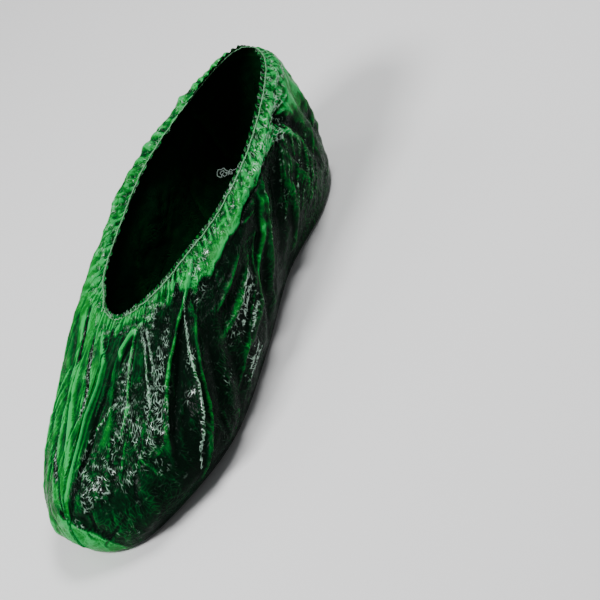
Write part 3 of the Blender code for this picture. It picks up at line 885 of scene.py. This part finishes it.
def add_object(name: str, data: bpy.types.ID) -> bpy.types.Object:
    """Adds a mesh, a light or a camera to the scene as an object.

    Args:
        name: the object's name.
        data: the mesh, light or camera.

    Returns:
        The object.
    """
    made = bpy.data.objects.new(name, data)
    bpy.context.scene.collection.objects.link(made)
    return made


def tube_faces(count: int, sides: int) -> list[tuple[int, ...]]:
    """The faces of a closed tube, whose rings of points follow one another.

    Args:
        count: how many rings.
        sides: how many points each has.

    Returns:
        Each face as the numbers of its points.
    """
    faces = []
    for row in range(0, (count - 1) * sides, sides):
        for step in range(sides):
            turn = (step + 1) % sides
            faces.append((row + step, row + turn, row + sides + turn, row + sides + step))
    faces.append(tuple(reversed(range(sides))))
    faces.append(tuple(range((count - 1) * sides, count * sides)))
    return faces


class Wiring:
    """Short ways to add and join the nodes of one tree."""

    def __init__(self, tree: bpy.types.NodeTree) -> None:
        """Keeps the tree."""
        self.tree = tree

    def add(self, kind: str, inputs: dict | None = None, **settings: object) -> bpy.types.Node:
        """Adds a node.

        Args:
            kind: the node's type.
            inputs: values, or sockets to link, by the input's name or number.
            settings: the node's own settings.

        Returns:
            The node.
        """
        node = self.tree.nodes.new(kind)
        for name, value in settings.items():
            setattr(node, name, value)
        self.fill(node, inputs or {})
        return node

    def out(self, kind: str, inputs: dict | None = None, **settings: object) -> Socket:
        """The first output of a new node, with the same arguments."""
        return self.add(kind, inputs, **settings).outputs[0]

    def fill(self, node: bpy.types.Node, inputs: dict) -> None:
        """Gives a node's inputs their values, or links sockets to them.

        Args:
            node: the node.
            inputs: values or sockets, by the input's name or number.
        """
        for name, value in inputs.items():
            if isinstance(value, Socket):
                self.tree.links.new(value, node.inputs[name])
            else:
                node.inputs[name].default_value = value

    def math(self, operation: str, *values: object, clamp: bool = False) -> Socket:
        """The result of a Math node."""
        inputs = dict(enumerate(values))
        return self.out("ShaderNodeMath", inputs, operation=operation, use_clamp=clamp)

    def times(self, first: object, *others: object) -> Socket:
        """The product of two or more numbers.

        Args:
            first: the first one.
            others: the others.

        Returns:
            The product's socket.
        """
        for other in others:
            first = self.math("MULTIPLY", first, other)
        return first

    def fit(self, value: object, factor: object, offset: object) -> Socket:
        """A number times a factor, plus an offset, held between 0 and 1."""
        return self.math("MULTIPLY_ADD", value, factor, offset, clamp=True)

    def vector(self, operation: str, *values: object) -> Socket:
        """The result of a Vector Math node that gives a vector."""
        return self.out("ShaderNodeVectorMath", dict(enumerate(values)), operation=operation)

    def scaled(self, value: Socket, factor: object) -> Socket:
        """A vector times a number."""
        inputs = {0: value, "Scale": factor}
        return self.out("ShaderNodeVectorMath", inputs, operation="SCALE")

    def cells(self, place: Socket, scale: float, space: str = "3D") -> Socket:
        """How far each place lies from the edges of a Voronoi texture's cells."""
        return self.add("ShaderNodeTexVoronoi", {"Vector": place, "Scale": scale},
                        feature="DISTANCE_TO_EDGE",
                        voronoi_dimensions=space).outputs["Distance"]

    def mix(self, share: object, first: object, second: object) -> Socket:
        """A number between two others."""
        return self.out("ShaderNodeMix", {0: share, 2: first, 3: second})

    def blend(self, share: object, first: object, second: object) -> Socket:
        """A colour between two others."""
        return self.add("ShaderNodeMix", {0: share, 6: first, 7: second},
                        data_type="RGBA").outputs[2]

    def noise(self, place: Socket, scale: float, detail: float = 2.0) -> Socket:
        """The factor of a Noise texture."""
        return self.out("ShaderNodeTexNoise",
                        {"Vector": place, "Scale": scale, "Detail": detail})

    def bump(self, height: Socket, strength: float, depth: float) -> Socket:
        """The surface's direction with a height laid over it, its depth in metres."""
        return self.out("ShaderNodeBump", {"Height": height, "Strength": strength,
                                           "Distance": depth})

    def mark(self, name: str) -> Socket:
        """The number that a mesh attribute gives."""
        return self.add("ShaderNodeAttribute", attribute_name=name).outputs["Fac"]


def new_group(name: str, kind: str, given: dict[str, str], made: dict[str, str]) -> Wiring:
    """Starts a node group.

    Args:
        name: the group's name.
        kind: the type of its tree.
        given: the type of each input by its name.
        made: the type of each output.

    Returns:
        The wiring of its tree.
    """
    tree = bpy.data.node_groups.new(name, kind)
    for way, sockets in (("INPUT", given), ("OUTPUT", made)):
        for title, form in sockets.items():
            tree.interface.new_socket(title, in_out=way, socket_type=f"NodeSocket{form}")
    return Wiring(tree)


@cache
def crinkle_group() -> bpy.types.NodeTree:
    """Fine creases of thin film: a height, and masks of the creases that catch the light, painted
    as glints, highlights and shade.

    Returns:
        The shader group.
    """
    wires = new_group(
        "film_crinkle", "ShaderNodeTree",
        {"Place": "Vector", "Along film": "Vector", "Crush": "Float", "Streaks": "Float",
         "Glint": "Float"},
        dict.fromkeys(("Height", "Ridge highlight", "Glint stroke", "Streak", "Crevice shade"), "Float"),
    )
    given = wires.add("NodeGroupInput").outputs
    place, glint = given["Place"], given["Glint"]
    sway = wires.add("ShaderNodeTexNoise", {"Vector": place, "Scale": 110.0, "Detail": 2.0})
    sway = wires.vector("SUBTRACT", sway.outputs["Color"], (0.5, 0.5, 0.5))
    bent = wires.vector("ADD", given["Along film"], wires.scaled(sway, 0.006))
    lines = []
    for turn, wide, long in ((0.62, 600.0, 235.0), (-0.80, 640.0, 250.0), (0.05, 700.0, 215.0)):
        strip = wires.out("ShaderNodeVectorRotate", {"Vector": bent, "Angle": turn},
                          rotation_type="Z_AXIS")
        lines.append(wires.cells(wires.vector("MULTIPLY", strip, (wide, long, 1.0)), 1.0, "2D"))
    first = wires.fit(wires.noise(place, 75.0, 1.0), 14.0, -6.6)
    beside = wires.vector("ADD", place, (0.3, 0.1, 0.2))
    second = wires.fit(wires.noise(beside, 60.0, 1.0), 14.0, -7.4)
    apart = wires.mix(second, wires.mix(first, lines[0], lines[1]), lines[2])
    ridges = wires.fit(apart, -4.5, 1.0)
    cells = wires.cells(wires.vector("ADD", place, wires.scaled(sway, 0.009)), 230.0)
    facets = wires.math("MULTIPLY", cells, 2.6, clamp=True)
    cluster = wires.noise(wires.vector("ADD", place, (0.7, 0.4, 0.9)), 48.0, 1.5)
    cluster = wires.math("MULTIPLY_ADD", wires.fit(cluster, 5.0, -1.9), 0.85, 0.15)
    crushed = wires.math("ADD", ridges, wires.times(facets, 0.7))
    crushed = wires.times(crushed, wires.times(given["Crush"], cluster))
    height = wires.math("ADD", crushed, wires.times(lines[2], given["Streaks"]))
    broken = wires.math("MULTIPLY_ADD", wires.noise(place, 270.0), 5.5, -3.3)
    # glint strokes and beads: crinkle-edge highlights that the finish paints into the colour; they
    # also drive its coat
    glint_stroke = wires.times(wires.fit(apart, -8.0, 1.22), wires.fit(glint, 1.25, broken),
                         wires.fit(glint, 1.5, 0.0))
    glint_beads = wires.fit(wires.noise(place, 430.0), 8.0, -3.4)
    glint_beads = wires.times(wires.fit(glint, 1.5, -1.85), glint_beads)
    strip = wires.vector("MULTIPLY", bent, (430.0, 36.0, 1.0))
    wires.add("NodeGroupOutput", {
        "Height": height,
        # painted highlight: crinkle ridges, which the finish paints lighter
        "Ridge highlight": wires.times(ridges, cluster),
        "Glint stroke": wires.math("MAXIMUM", glint_stroke, glint_beads),
        # painted highlight: long thin streaks along the film, which the finish paints lighter
        "Streak": wires.fit(wires.noise(strip, 1.0), 9.0, -4.9),
        # painted shade: the edges of crinkle cells in glinting patches, which the finish paints
        # darker
        "Crevice shade": wires.times(wires.fit(cells, -7.0, 1.15), wires.fit(glint, 1.6, 0.0)),
    })
    return wires.tree


@cache
def tone_group() -> bpy.types.NodeTree:
    """Uneven tone, as handling and stretching leave it: a value round 0.

    Returns:
        The shader group.
    """
    wires = new_group("uneven_tone", "ShaderNodeTree",
                      {"Place": "Vector", "Broad": "Float", "Fine": "Float"}, {"Tone": "Float"})
    given = wires.add("NodeGroupInput").outputs
    broad = wires.math("SUBTRACT", wires.noise(given["Place"], 45.0), 0.5)
    fine = wires.math("SUBTRACT", wires.noise(given["Place"], 420.0, 3.0), 0.5)
    tone = wires.math("ADD", wires.times(broad, given["Broad"]), wires.times(fine, given["Fine"]))
    wires.add("NodeGroupOutput", {"Tone": tone})
    return wires.tree


def toned(wires: Wiring, place: Socket, broad: float, fine: float) -> Socket:
    """The uneven tone of a material, with its own shares of broad and fine spots."""
    return wires.out("ShaderNodeGroup", {"Place": place, "Broad": broad, "Fine": fine},
                     node_tree=tone_group())


def new_material(name: str) -> tuple[bpy.types.Material, Wiring, bpy.types.Node]:
    """Starts a material with an empty Principled shader.

    Args:
        name: the material's name.

    Returns:
        The material, its wiring and the shader.
    """
    material = bpy.data.materials.new(name)
    material.use_nodes = True
    material.node_tree.nodes.clear()
    wires = Wiring(material.node_tree)
    shader = wires.add("ShaderNodeBsdfPrincipled")
    wires.add("ShaderNodeOutputMaterial", {"Surface": shader.outputs[0]})
    return material, wires, shader


@dataclass(frozen=True)
class FilmFinish:
    """Thin glossy film, bright where it stands free and deep where it lies close, with painted
    highlights on its crests, ridges, streaks and glint strokes, and painted shade in its hollows,
    crevices and on its inner faces.
    """

    name: str = "green_film"
    roughness: float = 0.20
    gloss: float = 0.15
    bump_depth: float = 0.45 * MM
    streaks: float = 0.12
    brightness: float = 0.0

    def build(self) -> bpy.types.Material:
        """Makes the material.

        Returns:
            The material.
        """
        material, wires, shader = new_material(self.name)
        place = wires.add("ShaderNodeTexCoord").outputs["Object"]
        along = wires.add("ShaderNodeUVMap", uv_map="film").outputs["UV"]
        crinkle = wires.add("ShaderNodeGroup", {
            "Place": place, "Along film": along, "Crush": wires.mark("crush"),
            "Streaks": self.streaks, "Glint": wires.mark("glint"),
        }, node_tree=crinkle_group()).outputs
        tone = toned(wires, place, 0.45, 0.50)
        free = wires.mark("free")
        share = free
        # the ramp's share: how free the film stands and its own uneven tone, with painted light:
        # lighter on crests, crinkle ridges and streaks, darker in hollows and crevices
        crest_shade_weight = wires.math("MULTIPLY_ADD", free, 0.24, 0.13)
        for value, weight in ((wires.mark("crest_shade_highlight"), crest_shade_weight), (crinkle["Streak"], 0.17),
                              (crinkle["Crevice shade"], -0.26), (tone, 0.60),
                              (crinkle["Ridge highlight"], 0.26)):
            share = wires.math("MULTIPLY_ADD", value, weight, share)
        share = wires.math("ADD", share, self.brightness - 0.11, clamp=True)
        ramp = wires.add("ShaderNodeValToRGB", {0: share})
        stops = ramp.color_ramp.elements
        stops[0].color, stops[1].color = Ink.NIGHT_FILM.rgba, Ink.PALE_FILM.rgba
        for where, ink in ((0.24, Ink.DEEP_FILM), (0.50, Ink.MIDDLE_FILM), (0.78, Ink.FREE_FILM)):
            stops.new(where).color = ink.rgba
        # painted shade: faces seen from inside the pouch, apart from the ruffle, are blended to the
        # deep film colour as if in shade
        back = wires.add("ShaderNodeNewGeometry").outputs["Backfacing"]
        drop = wires.add("ShaderNodeSeparateXYZ", {0: along}).outputs[1]
        walled = wires.math("GREATER_THAN", drop, -0.4 * MM)
        inside = wires.times(back, wires.times(walled, 0.90))
        # painted highlight: the glint strokes blend the film's outer colour towards a pale glint
        # colour, and also set its coat
        glint_stroke = wires.times(crinkle["Glint stroke"], wires.math("SUBTRACT", 1.0, back))
        colour = wires.blend(wires.times(glint_stroke, 0.66), ramp.outputs[0], Ink.CREASE.rgba)
        wires.fill(shader, {
            "Base Color": wires.blend(inside, colour, Ink.DEEP_FILM.rgba),
            "Normal": wires.bump(crinkle["Height"], 1.0, self.bump_depth),
            "Roughness": wires.math("MULTIPLY_ADD", tone, 0.20, self.roughness),
            "Coat Weight": glint_stroke,
            "Coat Roughness": 0.12,
            "IOR": 1.18,
            "Specular IOR Level": self.gloss,
        })
        return material


@dataclass(frozen=True)
class YarnFinish:
    """Matt elastic yarn with a fine twist, with painted shade on its loose end."""

    name: str = "elastic_yarn"
    ink: Ink = Ink.ELASTIC
    shade: Ink = Ink.CORE
    end_shade: Ink = Ink.LOOSE
    roughness: float = 0.62

    def build(self) -> bpy.types.Material:
        """Makes the material.

        Returns:
            The material.
        """
        material, wires, shader = new_material(self.name)
        place = wires.add("ShaderNodeTexCoord").outputs["Object"]
        tone = toned(wires, place, 0.6, 1.2)
        share = wires.math("ADD", tone, 0.75, clamp=True)
        # painted shade: the loose end is blended towards a darker grey
        end_shade = wires.times(wires.mark("loose"), wires.math("ADD", tone, 0.9, clamp=True))
        colour = wires.blend(share, self.shade.rgba, self.ink.rgba)
        wires.fill(shader, {
            "Base Color": wires.blend(end_shade, colour, self.end_shade.rgba),
            "Normal": wires.bump(wires.noise(place, 2600.0), 0.6, 0.1 * MM),
            "Roughness": self.roughness,
        })
        return material


@dataclass(frozen=True)
class FloorFinish:
    """Plain pale matt floor."""

    name: str = "pale_floor"

    def build(self) -> bpy.types.Material:
        """Makes the material.

        Returns:
            The material.
        """
        material, wires, shader = new_material(self.name)
        place = wires.add("ShaderNodeTexCoord").outputs["Object"]
        share = wires.math("ADD", toned(wires, place, 0.02, 0.02), 0.5)
        colour = wires.blend(share, Ink.FLOOR_LOW.rgba, Ink.FLOOR.rgba)
        wires.fill(shader, {"Base Color": colour, "Roughness": 0.9})
        return material


@dataclass
class ElasticLoop:
    """The loop of elastic yarn that gathers the rim, with the stitches that hold it."""

    form: CoverForm
    stand_off: float = 0.62 * MM
    core_radius: float = 0.23 * MM
    strand_radius: float = 0.14 * MM
    wind_radius: float = 0.24 * MM
    lay: float = 1.9 * MM
    stitch_spacing: float = 3.2 * MM
    stitch_reach: float = 0.62 * MM
    stitch_radius: float = 0.13 * MM
    path_steps: int = 480
    turn_steps: int = 8

    def path(self) -> tuple[Array, Array]:
        """The loop's centre line, and the directions away from the film.

        Returns:
            Points in metres, and directions of length 1.
        """
        stations = np.arange(self.path_steps) * ROUND / self.path_steps
        levels = np.full(stations.shape, RIM)
        outward = self.form.normals(stations, levels)
        waver = sum(np.sin(TURN * count * stations / ROUND + count) for count in (31, 52, 87))
        lift = np.zeros((len(stations), 3))
        lift[:, 2] = 0.11 * MM * waver
        front = smooth(1.8 - np.minimum(stations, ROUND - stations))
        back = window(stations, 7.3, 0.8, 10.2, 0.8)
        off = self.stand_off - 1.2 * MM * back + front * (0.34 * MM * waver - 0.30 * MM)
        return self.form.points(stations, levels) + outward * off[:, None] + lift, outward

    def build(self, material: bpy.types.Material) -> bpy.types.Object:
        """Winds the yarn along its path.

        Args:
            material: the yarn's finish.

        Returns:
            The loop as one plain mesh.
        """
        points, outward = self.path()
        mesh = bpy.data.meshes.new("elastic_path")
        edges = [(step, (step + 1) % len(points)) for step in range(len(points))]
        mesh.from_pydata(points.tolist(), edges, [])
        layer = mesh.attributes.new("outward", "FLOAT_VECTOR", "POINT")
        layer.data.foreach_set("vector", outward.reshape(-1).astype(np.float32))
        loop = add_object("elastic_loop", mesh)
        length = float(np.linalg.norm(np.roll(points, -1, 0) - points, axis=1).sum())
        turns = round(length / self.lay)
        bake_nodes(loop, self._tree(), {
            "Turns": turns, "Steps": turns * self.turn_steps, "Core radius": self.core_radius,
            "Strand radius": self.strand_radius, "Wind radius": self.wind_radius,
            "Stitch spacing": self.stitch_spacing, "Stitch reach": self.stitch_reach,
            "Stitch radius": self.stitch_radius, "Seed": SEED, "Material": material,
        })
        loop.data.materials.clear()
        loop.data.materials.append(material)
        loop.data.polygons.foreach_set("material_index", [0] * len(loop.data.polygons))
        return loop

    def _tree(self) -> bpy.types.NodeTree:
        """The nodes that wind two strands round a core and put the stitches over it.

        Returns:
            The tree, with named inputs for its sizes.
        """
        sizes = ("Core radius", "Strand radius", "Wind radius", "Stitch spacing", "Stitch reach",
                 "Stitch radius")
        wires = new_group(
            "wound_elastic", "GeometryNodeTree",
            {"Geometry": "Geometry", "Turns": "Int", "Steps": "Int", "Seed": "Int",
             "Material": "Material", **dict.fromkeys(sizes, "Float")},
            {"Geometry": "Geometry"},
        )
        given = wires.add("NodeGroupInput").outputs
        line = wires.out("GeometryNodeMeshToCurve", {0: given["Geometry"]})
        fine = wires.out("GeometryNodeResampleCurve", {"Curve": line, "Count": given["Steps"]})
        out = wires.out("GeometryNodeInputNamedAttribute", {"Name": "outward"},
                        data_type="FLOAT_VECTOR")
        out = wires.vector("NORMALIZE", out)
        tangent = wires.out("GeometryNodeInputTangent")
        side = wires.vector("CROSS_PRODUCT", tangent, out)
        factor = wires.add("GeometryNodeSplineParameter").outputs["Factor"]
        turned = wires.times(factor, given["Turns"], TURN)
        parts = [self._tube(wires, fine, given["Core radius"], 5)]
        for start in (0.0, np.pi):
            angle = wires.math("ADD", turned, start)
            arm = wires.vector("ADD", wires.scaled(out, wires.math("COSINE", angle)),
                               wires.scaled(side, wires.math("SINE", angle)))
            arm = wires.scaled(arm, given["Wind radius"])
            strand = wires.add("GeometryNodeSetPosition", {"Geometry": fine, "Offset": arm})
            parts.append(self._tube(wires, strand.outputs[0], given["Strand radius"], 4))
        parts.append(self._stitches(wires, given, line, out, tangent))
        joined = wires.add("GeometryNodeJoinGeometry")
        for part in parts:
            wires.tree.links.new(part, joined.inputs[0])
        real = wires.out("GeometryNodeRealizeInstances", {0: joined.outputs[0]})
        inputs = {"Geometry": real, "Material": given["Material"]}
        wires.add("NodeGroupOutput", {0: wires.out("GeometryNodeSetMaterial", inputs)})
        return wires.tree

    @staticmethod
    def _tube(wires: Wiring, line: Socket, radius: Socket, sides: int) -> Socket:
        """A tube round a line.

        Args:
            wires: the tree's wiring.
            line: the line.
            radius: the tube's radius.
            sides: how many sides it has.

        Returns:
            The tube.
        """
        ring = wires.out("GeometryNodeCurvePrimitiveCircle",
                         {"Resolution": sides, "Radius": radius})
        return wires.out("GeometryNodeCurveToMesh", {"Curve": line, "Profile Curve": ring,
                                                     "Fill Caps": True})

    def _stitches(self, wires: Wiring, given: bpy.types.NodeOutputs, line: Socket, out: Socket,
                  tangent: Socket) -> Socket:
        """Small loops over the yarn at an even spacing.

        Args:
            wires: the tree's wiring.
            given: the tree's inputs.
            line: the yarn's centre line.
            out: the direction away from the film.
            tangent: the direction along the yarn.

        Returns:
            The loops as instances.
        """
        inputs = {"Curve": line, "Length": given["Stitch spacing"]}
        spots = wires.out("GeometryNodeResampleCurve", inputs, mode="LENGTH")
        arc = wires.out("GeometryNodeCurveArc", {
            "Resolution": 8, "Radius": given["Stitch reach"], "Start Angle": -1.9,
            "Sweep Angle": 3.8,
        })
        loop = self._tube(wires, arc, given["Stitch radius"], 4)
        along = wires.out("FunctionNodeAlignRotationToVector", {"Vector": tangent},
                          axis="Z")
        turned = wires.out("FunctionNodeAlignRotationToVector", {"Rotation": along, "Vector": out},
                           axis="X", pivot_axis="Z")
        size = wires.add("FunctionNodeRandomValue", {2: 0.85, 3: 1.15, "Seed": given["Seed"]},
                         data_type="FLOAT").outputs[1]
        return wires.out("GeometryNodeInstanceOnPoints", {
            "Points": spots, "Instance": loop, "Rotation": turned, "Scale": size,
        })


def bake_nodes(made: bpy.types.Object, tree: bpy.types.NodeTree, values: dict) -> None:
    """Runs a geometry node tree on an object and keeps the result as its plain mesh.

    Args:
        made: the object.
        tree: the tree.
        values: what each named input is given.
    """
    modifier = made.modifiers.new("nodes", "NODES")
    modifier.node_group = tree
    for item in tree.interface.items_tree:
        if item.in_out == "INPUT" and item.name in values:
            modifier[item.identifier] = values[item.name]
    graph = bpy.context.evaluated_depsgraph_get()
    mesh = bpy.data.meshes.new_from_object(made.evaluated_get(graph))
    made.modifiers.remove(modifier)
    made.data = mesh


# The loose end's way from the rim, in millimetres: inwards, towards the heel, and up
LOOSE_END = (
    (-0.3, -0.7, 0.5), (2.7, -1.1, 0.2), (4.1, -1.4, 0), (5.4, -2.2, -0.2), (7.5, -1.4, -0.4),
    (8.6, -1.8, -0.6), (7.6, -3.1, -0.7), (5.7, -3.2, -0.5), (4.4, -4.5, -0.4), (6.2, -4.6, -0.6),
    (8.2, -3.5, -0.8), (10, -2.2, -1), (12.5, -1.5, -1.2), (15.5, 0, -1.3), (16.7, -1.2, -1.5),
    (19.3, -1.1, -1.7), (19.1, -3.1, -1.9), (17.2, -5.5, -2), (14.7, -6.4, -2), (12.7, -6.6, -1.9),
    (13.9, -5, -1.8), (16, -3.7, -1.7), (15.4, -2.3, -1.5), (13.9, -2, -1.3), (12.6, -3.7, -1.3),
    (13.6, -4.4, -1.5), (11.1, -5.8, -1.6), (9.8, -5.8, -1.5), (9.5, -4.4, -1.3),
    (10.9, -3.4, -1.1), (8.7, -3.9, -1), (7.1, -5.4, -1),
)


@dataclass
class LooseEnd:
    """The tangled free end of the yarn inside the rim, with its own length."""

    form: CoverForm
    station: float = 4.8
    radius: float = 0.24 * MM
    crimp: float = 0.13 * MM
    steps: int = 6
    sides: int = 6

    def points(self) -> Array:
        """The end's centre line, from the loop inwards.

        Returns:
            Points in metres.
        """
        spot, level = np.array([self.station]), np.array([RIM])
        rim = self.form.points(spot, level)[0]
        inward = -self.form.normals(spot, level)[0] * np.array([1.0, 1.0, 0.0])
        inward /= np.linalg.norm(inward)
        up = np.array([0.0, 0.0, 1.0])
        axes = np.array([inward, np.cross(inward, up), up]) * MM
        given = np.array(LOOSE_END)
        rows = np.concatenate([2 * given[:1] - given[1:2], given, 2 * given[-1:] - given[-2:-1]])
        line = []
        for step in range(len(given) - 1):
            for share in np.arange(self.steps) / self.steps:
                weights = spline_weights(share)
                line.append(sum(w * rows[step + k] for k, w in enumerate(weights)))
        way = rim + np.array(line + [given[-1]]) @ axes
        run = np.concatenate([[0], np.cumsum(np.linalg.norm(np.diff(way, axis=0), axis=1))])
        waves = [np.sin(TURN * run / (lay * MM) + lay) for lay in (1.5, 1.3, 1.8)]
        return way + self.crimp * np.array(waves).T * smooth(run / (2 * MM))[:, None]

    def add_to(self, piece: bpy.types.Object) -> float:
        """Adds the end to the loop's mesh.

        Args:
            piece: the loop.

        Returns:
            The end's length in metres.
        """
        line = self.points()
        tangents = np.gradient(line, axis=0)
        tangents /= np.linalg.norm(tangents, axis=1, keepdims=True)
        side = np.cross(tangents, np.array([0.31, 0.17, 0.93]))
        side /= np.linalg.norm(side, axis=1, keepdims=True)
        other = np.cross(tangents, side)
        with opened(piece.data) as work:
            loose = work.verts.layers.float.new("loose")
            spots = []
            for place, one, two in zip(line, side, other):
                thick = self.radius * (1 + 0.3 * np.sin(place[0] * 5100) * np.sin(place[1] * 3700))
                for angle in TURN * np.arange(self.sides) / self.sides:
                    arm = one * np.cos(angle) + two * np.sin(angle)
                    spots.append(work.verts.new(place + arm * thick))
                    spots[-1][loose] = 1.0
            for corners in tube_faces(len(line), self.sides):
                work.faces.new([spots[corner] for corner in corners])
        return float(np.linalg.norm(np.diff(line, axis=0), axis=1).sum())


@dataclass
class ToeSeam:
    """The welded fin of the film's seam, which runs down the middle of the toe."""

    pouch: FilmPouch
    low: float = 0.45
    high: float = 3.80
    height: float = 1.2 * MM
    thickness: float = 0.28 * MM

    def build(self, material: bpy.types.Material) -> bpy.types.Object:
        """Makes the fin on the film's own surface.

        Args:
            material: the film's finish.

        Returns:
            The object.
        """
        foot = self.pouch.grids["wall"][:, 0]
        normals = self.pouch.grids["normals"][:, 0]
        beside = self.pouch.grids["wall"][:, 1] - self.pouch.grids["wall"][:, -1]
        levels = self.pouch.grids["levels"][:, 0]
        kept = (levels > self.low) & (levels < self.high)
        foot, normals, beside, levels = (a[kept] for a in (foot, normals, beside, levels))
        side = beside - normals * np.sum(beside * normals, axis=1, keepdims=True)
        side /= np.linalg.norm(side, axis=1, keepdims=True)
        ends = np.minimum(levels - levels[0], levels[-1] - levels)
        tall = self.height * smooth(ends / 0.25) * (1 + 0.12 * np.sin(levels * 23))
        sway = 0.22 * MM * np.sin(levels * 14.0 + np.sin(levels * 5)) * smooth(ends / 0.4)
        rows = []
        for place, out, across, up, lean in zip(foot, normals, side, tall, sway):
            half = across * (self.thickness / 2)
            base = place + out * 0.05 * MM
            top = base + out * up + across * lean
            middle = base + out * up * 0.5 + across * lean * 0.35
            rows.append([base - half, base + half, middle + half, top + half * 0.7,
                         top - half * 0.7, middle - half])
        return self._mesh(np.array(rows), material)

    @staticmethod
    def _mesh(rows: Array, material: bpy.types.Material) -> bpy.types.Object:
        """Joins the fin's cross-sections and closes its ends.

        Args:
            rows: the points of each section.
            material: the film's finish.

        Returns:
            The object.
        """
        count, sides = rows.shape[:2]
        mesh = bpy.data.meshes.new("toe_fin")
        mesh.from_pydata(rows.reshape(-1, 3).tolist(), [], tube_faces(count, sides))
        # the crest and glint numbers give the fin a painted highlight and painted glint strokes
        marks = {"free": 0.75, "crush": 0.7, "crest_shade_highlight": 0.5, "glint": 0.3}
        set_marks(mesh, {name: np.full(count * sides, value) for name, value in marks.items()})
        uv = mesh.uv_layers.new(name="film")
        spots = np.zeros((len(mesh.loops), 2), np.float32)
        index = np.zeros(len(mesh.loops), np.int32)
        mesh.loops.foreach_get("vertex_index", index)
        spots[:, 0] = (index % sides) * 0.0004
        spots[:, 1] = (index // sides) * 0.0012
        uv.data.foreach_set("uv", spots.reshape(-1))
        mesh.materials.append(material)
        with opened(mesh) as work:
            bmesh.ops.recalc_face_normals(work, faces=work.faces)
        return add_object("toe_fin", mesh)


@dataclass
class Studio:
    """Pale floor, soft lights and the camera at the photograph's angle."""

    aim: tuple[float, float, float] = (0.0, 0.0, 0.04)
    sky: float = 0.20
    floor_reach: float = 6.0
    floor_drop: float = 0.6 * MM
    sensor: float = 36.0
    focal_ratio: float = 2159.39 / 600
    eye: tuple[float, float, float] = (0.82398, -0.66215, 0.75781)

    def build(self) -> None:
        """Makes the floor, the lights, the sky and the camera."""
        self._floor()
        self._lamp("key", (-0.22, -0.75, 1.05), (0.50, 0.30), 17.0)
        self._lamp("top", (0.25, 0.55, 1.20), (0.60, 0.30), 14.0)
        self._lamp("side", (-0.95, 0.10, 0.85), (0.30, 0.45), 1.8)
        world = bpy.data.worlds.new("studio")
        world.use_nodes = True
        sky = world.node_tree.nodes["Background"].inputs
        sky["Color"].default_value = (0.95, 0.97, 1.0, 1)
        sky["Strength"].default_value = self.sky
        bpy.context.scene.world = world
        self._camera()

    def _floor(self) -> None:
        """A wide floor under the sole."""
        mesh = bpy.data.meshes.new("floor")
        corners = [(x * self.floor_reach, y * self.floor_reach, -self.floor_drop)
                   for x, y in ((-1, -1), (1, -1), (1, 1), (-1, 1))]
        mesh.from_pydata(corners, [], [(0, 1, 2, 3)])
        mesh.materials.append(FloorFinish().build())
        add_object("floor", mesh)

    def _lamp(self, name: str, place: tuple[float, float, float],
              size: tuple[float, float], power: float) -> None:
        """A flat soft lamp that looks at the cover.

        Args:
            name: the lamp's name.
            place: where it hangs.
            size: its width and height.
            power: its power in watts.
        """
        data = bpy.data.lights.new(name, "AREA")
        data.shape = "RECTANGLE"
        data.size, data.size_y = size
        data.energy = power
        way = Vector(self.aim) - Vector(place)
        turn = way.to_track_quat("-Z", "Y").to_matrix().to_4x4()
        add_object(name, data).matrix_world = Matrix.Translation(place) @ turn

    def _camera(self) -> None:
        """The camera at the photograph's angle and distance."""
        data = bpy.data.cameras.new("photo_camera")
        data.sensor_width = self.sensor
        data.lens = self.sensor * self.focal_ratio
        data.clip_start = 0.05
        data.clip_end = 20
        right = Vector((0.79577, 0.35723, -0.48902))
        up = Vector((0.05109, 0.76501, 0.64199))
        back = Vector((0.60344, -0.53586, 0.59052))
        turn = Matrix((right, up, back)).transposed().to_4x4()
        camera = add_object("photo_camera", data)
        camera.matrix_world = Matrix.Translation(self.eye) @ turn
        bpy.context.scene.camera = camera


def main() -> None:
    """Builds the cover, its looks and the studio."""
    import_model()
    Studio().build()
    form = CoverForm()
    film_finish = FilmFinish().build()
    pouch = FilmPouch(form, Relief())
    film = pouch.build()
    film.data.materials.append(film_finish)
    LOG.info("film pouch: %d faces", len(film.data.polygons))
    elastic = ElasticLoop(form).build(YarnFinish().build())
    spare = LooseEnd(form).add_to(elastic)
    elastic.data.shade_smooth()
    LOG.info("elastic: %d faces, loose end %.0f mm", len(elastic.data.polygons), spare / MM)
    fin = ToeSeam(pouch).build(FilmFinish("welded_film", 0.2, 0.3, 0.2 * MM, 0.3, 0.05).build())
    LOG.info("toe seam: %d faces", len(fin.data.polygons))
    for piece, node, slot in ((film, "film_cover", "film"), (elastic, "elastic_thread", "elastic"),
                              (fin, "toe_seam", "film")):
        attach(piece, "root")
        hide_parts(node)
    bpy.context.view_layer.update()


if __name__ == "__main__":
    logging.basicConfig(level=logging.INFO, format="%(message)s")
    main()
